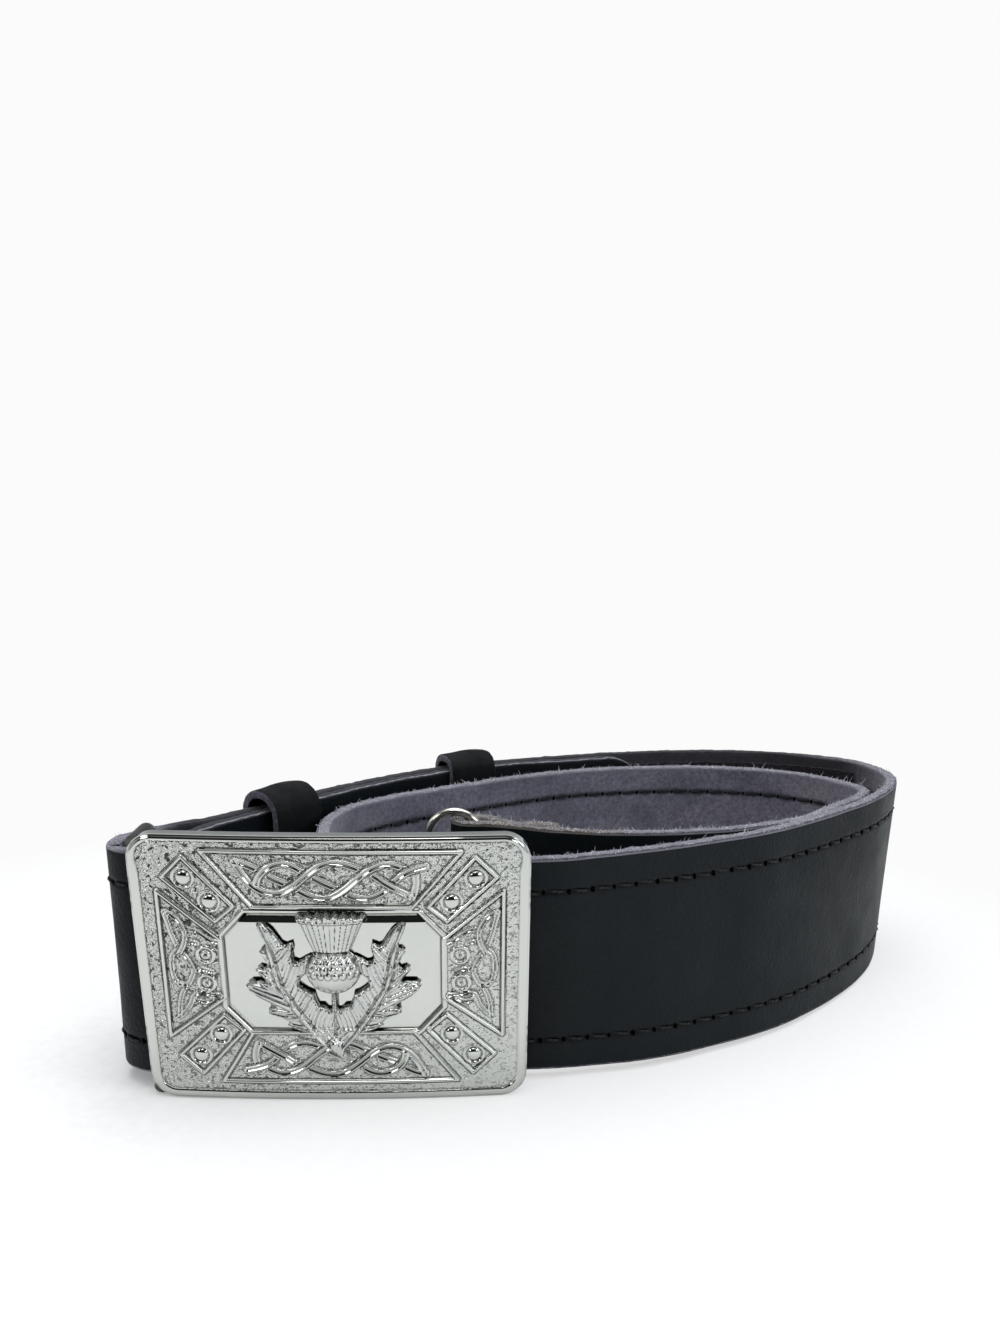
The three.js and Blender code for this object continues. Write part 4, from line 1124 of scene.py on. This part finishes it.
def plate_relief(x, y):
    """Height over the ground, and how far the ground is pricked, at points of the plate."""
    edge = plate_edge(x, y)
    rim = edge + 0.8 * smooth_step(y, 24, 31)
    height = 0.5 * smooth_step(-rim, -2.6, -2.0)
    rounding = np.clip(1 - edge / 1.5, 0, 1)
    height = height - 1.4 * (1 - np.sqrt(1 - rounding ** 2 * 0.96))
    mask = smooth_step(rim, 2.2, 2.8)
    ax = np.abs(x)
    frames = [(x, TOP_PANEL), (x, LOW_PANEL), (ax, SIDE_PANEL)] + [(ax, bar) for bar in CORNER_BARS]
    for px, panel in frames:
        away = line_distance(px, y, panel, closed=True)[0]
        height = np.maximum(height, flat_ridge(away, FRAME_HALF, FRAME_RISE))
        mask *= smooth_step(away, 0.6, 0.85)
    for bx, by in BOSSES:
        away = np.hypot(ax - bx, y - by)
        height = np.maximum(height, ridge(away, BOSS_RADIUS, BOSS_RISE))
        height = np.maximum(height, ridge(np.abs(away - COLLAR_RADIUS), COLLAR_HALF, COLLAR_RISE))
        mask *= smooth_step(away, 2.6, 2.9)
    ornament = plate_ornament(x, y)
    height = np.maximum(height, ornament)
    mask *= 1 - smooth_step(ornament, 0.02, 0.15)
    window = signed_distance(x, y, WINDOW)
    height = np.maximum(height, flat_ridge(np.abs(window - 0.7), 0.6, 0.45))
    mask *= smooth_step(window, 1.2, 1.5)
    floor = smooth_step(-window, -0.1, 0.2)
    drop = WINDOW_DEPTH + 0.55 * np.clip(y - 12.8, 0, 3)
    return height * (1 - floor) - drop * floor, mask


def blurred(values, reach):
    """Mean of a grid of values over a square of cells."""
    for axis in (0, 1):
        values = sum(np.roll(values, k, axis) for k in range(-reach, reach + 1)) / (2 * reach + 1)
    return values


def crevices(height, reach, depth):
    """How far each point of a relief lies below its surroundings, from 0 to 1; the materials paint shade
    into the hollows by it.
    """
    return np.clip((blurred(height, reach) - height) / depth, 0, 1)


def corner_round(x, y):
    """Draws the corners of a square grid in to the plate's round corners."""
    u = (np.abs(x) - (HALF_W - PLATE_CORNER)) / PLATE_CORNER
    v = (np.abs(y) - (HALF_H - PLATE_CORNER)) / PLATE_CORNER
    inside = (u > 0) & (v > 0)
    u, v = np.where(inside, u, 1), np.where(inside, v, 0)
    reach = np.maximum(u, v)
    low, high = v / np.maximum(u, 1e-9), u / np.maximum(v, 1e-9)
    angle = np.where(u >= v, math.pi / 4 * low, math.pi / 2 - math.pi / 4 * high)
    new_x = (HALF_W - PLATE_CORNER + PLATE_CORNER * reach * np.cos(angle)) * np.sign(x)
    new_y = (HALF_H - PLATE_CORNER + PLATE_CORNER * reach * np.sin(angle)) * np.sign(y)
    return np.where(inside, new_x, x), np.where(inside, new_y, y)


def grid_faces(index):
    """The squares of a grid of point numbers."""
    return np.stack([index[:-1, :-1], index[:-1, 1:], index[1:, 1:], index[1:, :-1]], -1).reshape(-1, 4)


def make_plate(name, least, most, *nodes):
    """Half of the cast plate: a fine grid raised into the relief, with its edge turned back and closed."""
    x, y = np.meshgrid(np.linspace(least, most, PLATE_COLUMNS), np.linspace(-HALF_H, HALF_H, PLATE_LINES))
    x, y = corner_round(x, y)
    height, pricked = plate_relief(x, y)
    front = np.stack([x, face_back(x) - height, y + HALF_H], -1).reshape(-1, 3)
    index = np.arange(x.size).reshape(x.shape)
    faces = grid_faces(index).tolist()
    border = list(index[0, :-1]) + list(index[:-1, -1]) + list(index[-1, :0:-1]) + list(index[:0:-1, 0])
    base = len(front)
    back = front[border].copy()
    back[:, 1] = face_back(back[:, 0]) + PLATE_THICKNESS
    points = np.concatenate([front, back])
    number = {front_index: base + k for k, front_index in enumerate(border)}
    for a, b in zip(border, border[1:] + border[:1]):
        faces.append([b, a, number[a], number[b]])
    for k in range(PLATE_COLUMNS - 1):
        low_a, low_b = number[index[0, k]], number[index[0, k + 1]]
        high_a, high_b = number[index[-1, k]], number[index[-1, k + 1]]
        faces.append([low_b, low_a, high_a, high_b])
    faces.append([number[i] for i in index[:, 0]])
    faces.append([number[i] for i in index[::-1, -1]])
    piece = new_piece(name, points, faces)
    add_marks(piece, "pricked", pricked.ravel())
    # The depth of the hollows, which masks the painted shade in the material
    add_marks(piece, "hollow_shade", crevices(height, 2, 0.3).ravel())
    set_on_plate(piece)
    piece.data.set_sharp_from_angle(angle=math.radians(60))
    return finish_piece(piece, chrome, "buckle_chrome", *nodes)


# Thistle: its outline is the union of two leaves, the bulb, the tuft and the stem

LEAF_EDGE = [
    (0.0, -20.0), (2.4, -18.6), (4.0, -17.0), (5.6, -15.2), (7.2, -14.5), (9.6, -13.9), (11.6, -13.2),
    (11.0, -12.3), (12.4, -11.4), (14.8, -10.5), (15.9, -9.9), (15.8, -8.6), (14.2, -8.1), (16.4, -6.8),
    (18.4, -5.5), (20.2, -3.8), (20.8, -2.6), (19.8, -1.8), (17.4, -1.6), (15.6, -1.8), (17.0, -0.3),
    (18.3, 1.3), (17.4, 2.0), (16.2, 1.7), (15.3, 2.7), (15.9, 3.7), (16.4, 4.9), (17.2, 5.9), (16.5, 6.7),
    (15.6, 6.8), (15.4, 8.0), (16.3, 9.7), (17.1, 11.6), (17.4, 12.9), (16.6, 13.4), (15.4, 12.8),
    (13.8, 11.2), (12.6, 9.4), (11.7, 8.0), (11.0, 7.6), (9.3, 8.3), (9.0, 6.8), (9.4, 5.2), (9.2, 3.8),
    (8.2, 3.4), (6.6, 4.4), (5.4, 5.0), (5.4, 1.2), (7.0, -0.2), (8.0, -1.0), (8.3, -2.4), (7.2, -3.3),
    (5.9, -4.2), (4.7, -4.7), (4.3, -6.4), (3.7, -7.8), (2.4, -7.9), (1.6, -8.8), (0.0, -9.2)]
LEAF_RIB = [
    (1.6, -19.0), (4.5, -15.6), (7.5, -11.4), (9.6, -8.0), (11.3, -5.0), (12.8, -2.0), (13.6, 1.0),
    (13.9, 3.4), (14.5, 6.0), (15.8, 9.4), (16.9, 12.4)]
LEAF_VEINS = [
    [(9.6, -8.0), (13.4, -6.3), (17.4, -4.3), (20.3, -2.8)], [(11.8, -4.2), (14.6, -1.9), (17.8, 1.0)],
    [(13.4, 0.8), (14.9, 3.3), (16.8, 5.7)], [(8.0, -10.6), (12.0, -10.3), (15.5, -9.4)],
    [(5.4, -14.2), (8.5, -13.6), (11.2, -12.9)], [(13.8, 3.0), (11.8, 5.0), (9.7, 7.7)],
    [(12.4, -3.0), (10.8, -0.4), (9.6, 2.8)], [(10.4, -6.8), (8.9, -4.4), (8.0, -2.0)],
    [(8.2, -10.2), (6.6, -7.8), (5.3, -5.2)], [(5.4, -14.2), (4.5, -11.0), (3.4, -8.4)]]
SHEATH = [(-2.6, -16.6), (0.0, -15.4), (2.2, -16.8), (2.6, -20.0), (3.3, -22.9), (0.8, -21.6), (-1.8, -19.4)]
STEM = [(-0.7, -3.8), (0.7, -3.8), (0.8, -9.6), (-0.8, -9.6)]
BULB = {"x": 0.0, "y": 1.2, "across": 6.5, "up": 5.9, "crown": 3.9}
TUFT = {"foot": 6.6, "top": 16.0, "foot_half": 4.5, "top_half": 8.2}

# Scales of the bulb: their rows, the place of the top one, and their steps across and down
SCALE_ROWS = 4
SCALE_TOP = 5.9
SCALE_PITCH = 1.75
SCALE_DROP = 1.6


def tuft_points():
    foot = TUFT["foot_half"]
    points = [(-foot, TUFT["foot"]), (foot, TUFT["foot"])]
    for step in range(17):
        across = 1 - step / 8
        tooth = 0.45 if step % 2 else 0.0
        points.append((across * TUFT["top_half"], TUFT["top"] + tooth - 0.7 * across ** 2))
    return points


def thistle_parts(x, y):
    """Distance from the outlines of the leaves, bulb, tuft, stem and sheath, negative inside."""
    leaf = signed_distance(np.abs(x), y, LEAF_EDGE)
    reach = np.hypot((x - BULB["x"]) / BULB["across"], (y - BULB["y"]) / BULB["up"])
    bulb = (reach - 1) * BULB["up"]
    tuft = signed_distance(x, y, tuft_points())
    stem = signed_distance(x, y, STEM)
    sheath = signed_distance(x, y, SHEATH)
    return leaf, bulb, tuft, stem, sheath


def bulb_scales(x, y, bulb):
    """Rows of pointed scales that overlap upward, over a plain crescent."""
    lift = np.zeros(x.shape)
    for row in range(SCALE_ROWS):
        level = SCALE_TOP - row * SCALE_DROP
        for step in range(-4, 5):
            centre = (step + 0.5 * (row % 2)) * SCALE_PITCH
            u, v = (x - centre) / (SCALE_PITCH * 0.5), (y - level) / 1.15
            leaf = 1 - np.abs(u) ** 1.6 - np.clip(v, 0, None) ** 1.5 - np.clip(-v, 0, None) ** 3
            lift = np.maximum(lift, 0.62 * np.clip(leaf, 0, 1) ** 0.6)
    beads = 0.3 * np.exp(-((bulb + 0.7) / 0.45) ** 2) * (0.6 + 0.4 * np.cos(x * 4.4)) * (y < 0)
    return np.where(bulb < -0.15, lift * smooth_step(y, -0.6, -0.2) + beads, 0)


def raise_part(height, distance, reach, form):
    """The relief with one part laid over it, as far as a reach outside the part's outline."""
    return np.where(distance < reach, np.maximum(height, form), height)


def leaf_form(x, y, leaf):
    """A leaf's blade: raised ribs, grooved veins and combed hollows between them."""
    rib = line_distance(x, y, LEAF_RIB)[0]
    vein = np.minimum.reduce([line_distance(x, y, run)[0] for run in LEAF_VEINS])
    near = np.minimum(rib, vein)
    blade = 0.8 + 0.55 * np.exp(-(near / 1.5) ** 2) + 0.3 * smooth_step(-leaf, 0.0, 1.2)
    blade = blade + ridge(rib, 0.5, 0.5) - 0.38 * np.exp(-(vein / 0.24) ** 2)
    blade = blade - 0.35 * np.exp(-((rib - 0.8) / 0.25) ** 2)
    combed = np.sin(near * 6.5 + (x + y) * 0.35) * 0.11
    return blade + combed * smooth_step(near, 0.45, 0.9) + 0.15 * smooth_step(x, 12.5, 19.0)


def tuft_form(x, y, tuft):
    """The tuft: a fluted fan with a brim of bristles."""
    share = np.clip((y - TUFT["foot"]) / (TUFT["top"] - TUFT["foot"]), 0, 1.1)
    half = TUFT["foot_half"] + (TUFT["top_half"] - TUFT["foot_half"]) * share
    across = np.clip(x / half, -1, 1)
    crown = 3.4 - 1.4 * across ** 2 + 0.5 * share
    crown = crown + 0.5 * np.abs(np.sin(across * math.pi * 5.5)) ** 0.4
    bristle = np.sin(x * 7.1 + 2 * np.sin(y * 5)) * np.sin(y * 8.3 + x)
    crown = crown + smooth_step(y, 14.4, 14.9) * (0.16 * bristle - 0.25)
    return crown * smooth_step(-tuft, -0.1, 0.5)


def thistle_relief(x, y):
    """Height over the thistle's flat back."""
    leaf, bulb, tuft, stem, sheath = thistle_parts(x, y)
    height = np.where(leaf < 0.3, leaf_form(np.abs(x), y, leaf), 0)
    round_x = (x - BULB["x"]) / (BULB["across"] + 0.15)
    round_y = (y - BULB["y"]) / (BULB["up"] + 0.15)
    dome = BULB["crown"] * np.sqrt(np.clip(1 - round_x ** 2 - round_y ** 2, 0, 1))
    height = raise_part(height, bulb, 0.2, dome + bulb_scales(x, y, bulb))
    height = raise_part(height, tuft, 0.1, tuft_form(x, y, tuft))
    height = raise_part(height, stem, 0.1, 1.5 + 0.22 * np.sin(y * 7 + x * 3))
    keel = 1.2 + 1.1 * smooth_step(-sheath, 0, 1.6) + 0.1 * np.sin(x * 6 - y * 1.5)
    return raise_part(height, sheath, 0.1, keel)


def thistle_outline(x, y):
    """Distance from the whole thistle's outline, negative inside."""
    return np.minimum.reduce(thistle_parts(x, y))


def make_thistle():
    """The thistle as cast: a fine sheet cut to its outline and raised into leaves, bulb and tuft."""
    x, y = np.meshgrid(np.arange(-22.0, 22.1, THISTLE_CELL), np.arange(-24.0, 17.0, THISTLE_CELL))
    for _ in range(3):
        d = thistle_outline(x, y)
        gx = (thistle_outline(x + 0.02, y) - thistle_outline(x - 0.02, y)) / 0.04
        gy = (thistle_outline(x, y + 0.02) - thistle_outline(x, y - 0.02)) / 0.04
        near = (d > 0) & (d < THISTLE_CELL * 1.1)
        size = np.maximum(gx ** 2 + gy ** 2, 0.2)
        x = np.where(near, x - gx * d / size, x)
        y = np.where(near, y - gy * d / size, y)
    kept = thistle_outline(x, y) < 0.03
    quads = grid_faces(np.arange(x.size).reshape(x.shape))
    quads = quads[kept.ravel()[quads].all(1)]
    used = np.unique(quads)
    number = np.full(x.size, -1)
    number[used] = np.arange(len(used))
    quads = number[quads]
    px, py = x.ravel()[used], y.ravel()[used]
    height = thistle_relief(x, y)
    hollow = crevices(height, 2, 0.35).ravel()[used]
    drop = smooth_step(-thistle_outline(px, py), -0.05, 0.45)
    height = height.ravel()[used] * (0.3 + 0.7 * drop)
    sunk = THISTLE_SINK * smooth_step(-signed_distance(px, py, WINDOW), 0.6, 1.4)
    front = np.stack([px, THISTLE_BACK + 0.8 * sunk - height, py + HALF_H], -1)
    back = np.stack([px, THISTLE_BACK + sunk, py + HALF_H], -1)
    edges = dict.fromkeys(edge for quad in quads.tolist() for edge in zip(quad, quad[1:] + quad[:1]))
    walls = [[b, a, a + len(used), b + len(used)] for a, b in edges if (b, a) not in edges]
    faces = quads.tolist() + (quads[:, ::-1] + len(used)).tolist() + walls
    piece = new_piece("thistle_cast", np.concatenate([front, back]), faces)
    # The depth of the hollows masks the painted shade in the material
    add_marks(piece, "hollow_shade", hollow)
    set_on_plate(piece)
    piece.data.set_sharp_from_angle(angle=math.radians(70))
    return finish_piece(piece, thistle_chrome, "thistle_chrome", "thistle_mount")


def make_pins():
    """Two short pins that hold the thistle off the window."""
    for index, up in enumerate((-PIN_UP, PIN_UP)):
        deselect()
        bpy.ops.mesh.primitive_cylinder_add(
            vertices=24, radius=PIN_RADIUS * MM, depth=PIN_LENGTH * MM, rotation=(math.pi / 2, 0, 0))
        piece = bpy.context.object
        piece.name = "thistle_pin_" + str(index + 1)
        apply_place(piece)
        apply_modifier(piece, "BEVEL", width=0.25 * MM, segments=2, limit_method="ANGLE")
        set_on_plate(piece, (0, THISTLE_BACK + 1.0, HALF_H + up))
        finish_piece(piece, nickel, "thistle_chrome")


make_strap()
make_stitches()
make_fibres()
make_holes()
make_keeper("keeper_near", "keeper_near_leather", shoulder=7.0, slack=1.6)
make_keeper("keeper_far", "keeper_far_leather", shoulder=5.2, slack=0.6)
make_tape()
make_ring()
make_plate("buckle_plate_left", -HALF_W, 0, "buckle_plate")
make_plate("buckle_plate_right", 0, HALF_W)
make_bar()
make_hook()
make_thistle()
make_pins()


# Floor, light and camera

def make_paper():
    """White paper. Seen by the camera it glows away from the belt's foot, so that no end of it shows."""
    paper = Finish("white paper sweep", {"Roughness": 0.9, "Specular IOR Level": 0.1})
    paper.complete(paper.ramp(paper.blotches(3, 2), (0.3, "#f0f0f1"), (0.7, "#f5f5f5")))
    glow = paper.add("Emission", {"Color": linear("#fbfbfb"), "Strength": 1.0})
    place = paper.split(paper.where)
    side = paper.calc("POWER", paper.calc("MULTIPLY_ADD", place["X"], 0.85, 0.03), 2.0)
    ahead = paper.calc("POWER", paper.calc("ADD", place["Y"], 0.01), 2.0)
    off_belt = paper.calc("SQRT", paper.calc("ADD", side, ahead))
    # Painted light: right of the belt the paper glows for the camera at up to half strength close to the
    # belt too, which pales its shadows there
    right = paper.to_range(place["X"], -0.12, -0.06, 0.0, 0.55)
    share = paper.calc("MAXIMUM", paper.to_range(off_belt, 0.1, 0.21), right)
    share = paper.calc("MULTIPLY", share, paper.add("LightPath").outputs["Is Camera Ray"])
    mixed = paper.add("MixShader", {
        "Fac": share, 1: paper.shader.outputs["BSDF"], 2: glow.outputs["Emission"]})
    paper.tree.links.new(mixed.outputs["Shader"], paper.output.inputs["Surface"])
    return paper.owner


def make_stage():
    """A paper sweep that rises behind the belt, lit, and glowing for the camera, so evenly that it has no
    end in the picture.
    """
    deselect()
    bpy.ops.mesh.primitive_grid_add(x_subdivisions=12, y_subdivisions=12, size=1)
    floor = bpy.context.object
    floor.name = "paper_sweep"
    floor.scale = (9, 9, 1)
    floor.location = (0, 0, -0.0002)
    apply_place(floor)
    for vertex in floor.data.vertices:
        vertex.co.z += 0.6 * max(0.0, vertex.co.y - 1.4) ** 2
    shade_faces(floor)
    floor.data.materials.append(make_paper())


def add_area(name, place, target, size, power):
    light = bpy.data.lights.new(name, "AREA")
    light.shape = "RECTANGLE"
    light.size, light.size_y = size
    light.energy = power
    lamp = link_piece(name, light)
    lamp.location = place
    way = Vector(target) - Vector(place)
    lamp.rotation_euler = way.to_track_quat("-Z", "Y").to_euler()


def make_world():
    """Soft room light: bright overhead and at the sides, dark in front and behind, but pale when seen."""
    room = Nodes(bpy.data.worlds.new("studio_room"))
    way = room.split(room.add("TexCoord").outputs["Generated"])
    overhead = room.to_range(way["Z"], 0.66, 0.86, 0.0, 0.8)
    left = room.to_range(way["X"], -0.72, -0.9, 0.0, 0.5)
    right = room.to_range(way["X"], 0.5, 0.8, 0.0, 0.8)
    total = room.calc("ADD", room.calc("ADD", left, right), room.calc("ADD", overhead, 0.02))
    tint = room.mix(room.to_range(way["X"], -0.6, 0.8), linear("#f2f4f2"), linear("#e2edf8"))
    seen = room.add("LightPath").outputs["Is Camera Ray"]
    tint = room.mix(seen, tint, linear("#f6f6f6"))
    light = room.add("Background", {"Color": tint, "Strength": room.calc("MAXIMUM", total, seen)})
    room.add("OutputWorld", {"Surface": light.outputs["Background"]})
    bpy.context.scene.world = room.owner


def make_light():
    """Three soft boxes, and three small lamps in front that the buckle's edges catch: metres and watts."""
    add_area("softbox_top", (0.1, 0.15, 1.25), (0, 0, 0), (1.3, 1.0), 11.5)
    add_area("softbox_left", (-1.3, 0.1, 0.9), (0, 0, 0.03), (0.7, 0.7), 3.0)
    add_area("softbox_right", (1.3, -0.5, 0.8), (0, 0, 0.03), (0.8, 0.8), 3.4)
    add_area("spark_left", (-1.05, -1.0, 0.8), (0, 0, 0.03), (0.4, 0.34), 3.2)
    add_area("spark_front", (-0.1, -0.85, 1.2), (0, 0, 0.03), (0.5, 0.16), 1.5)
    add_area("spark_right", (0.8, -1.15, 0.55), (0, 0, 0.03), (0.26, 0.3), 1.7)
    make_world()
    bpy.context.scene.view_settings.view_transform = "Standard"


def make_camera():
    """The photograph's camera, turned a little about its own axis."""
    ahead = Vector((0, math.cos(CAMERA_PITCH), -math.sin(CAMERA_PITCH)))
    right = Vector((1, 0, 0))
    up = right.cross(ahead)
    turned_right = right * math.cos(CAMERA_ROLL) + up * math.sin(CAMERA_ROLL)
    turned_up = up * math.cos(CAMERA_ROLL) - right * math.sin(CAMERA_ROLL)
    data = bpy.data.cameras.new("photo_camera")
    data.sensor_width = SENSOR_WIDTH
    data.lens = FOCAL_PIXELS * SENSOR_WIDTH / PHOTO_HEIGHT
    data.shift_y = (MIDDLE_ROW - PHOTO_HEIGHT / 2) / PHOTO_HEIGHT
    data.clip_start = 0.02
    camera = link_piece("photo_camera", data)
    turn = Matrix((turned_right, turned_up, -ahead)).transposed()
    camera.matrix_world = Matrix.Translation(CAMERA_PLACE) @ turn.to_4x4()
    bpy.context.scene.camera = camera


make_stage()
make_light()
make_camera()
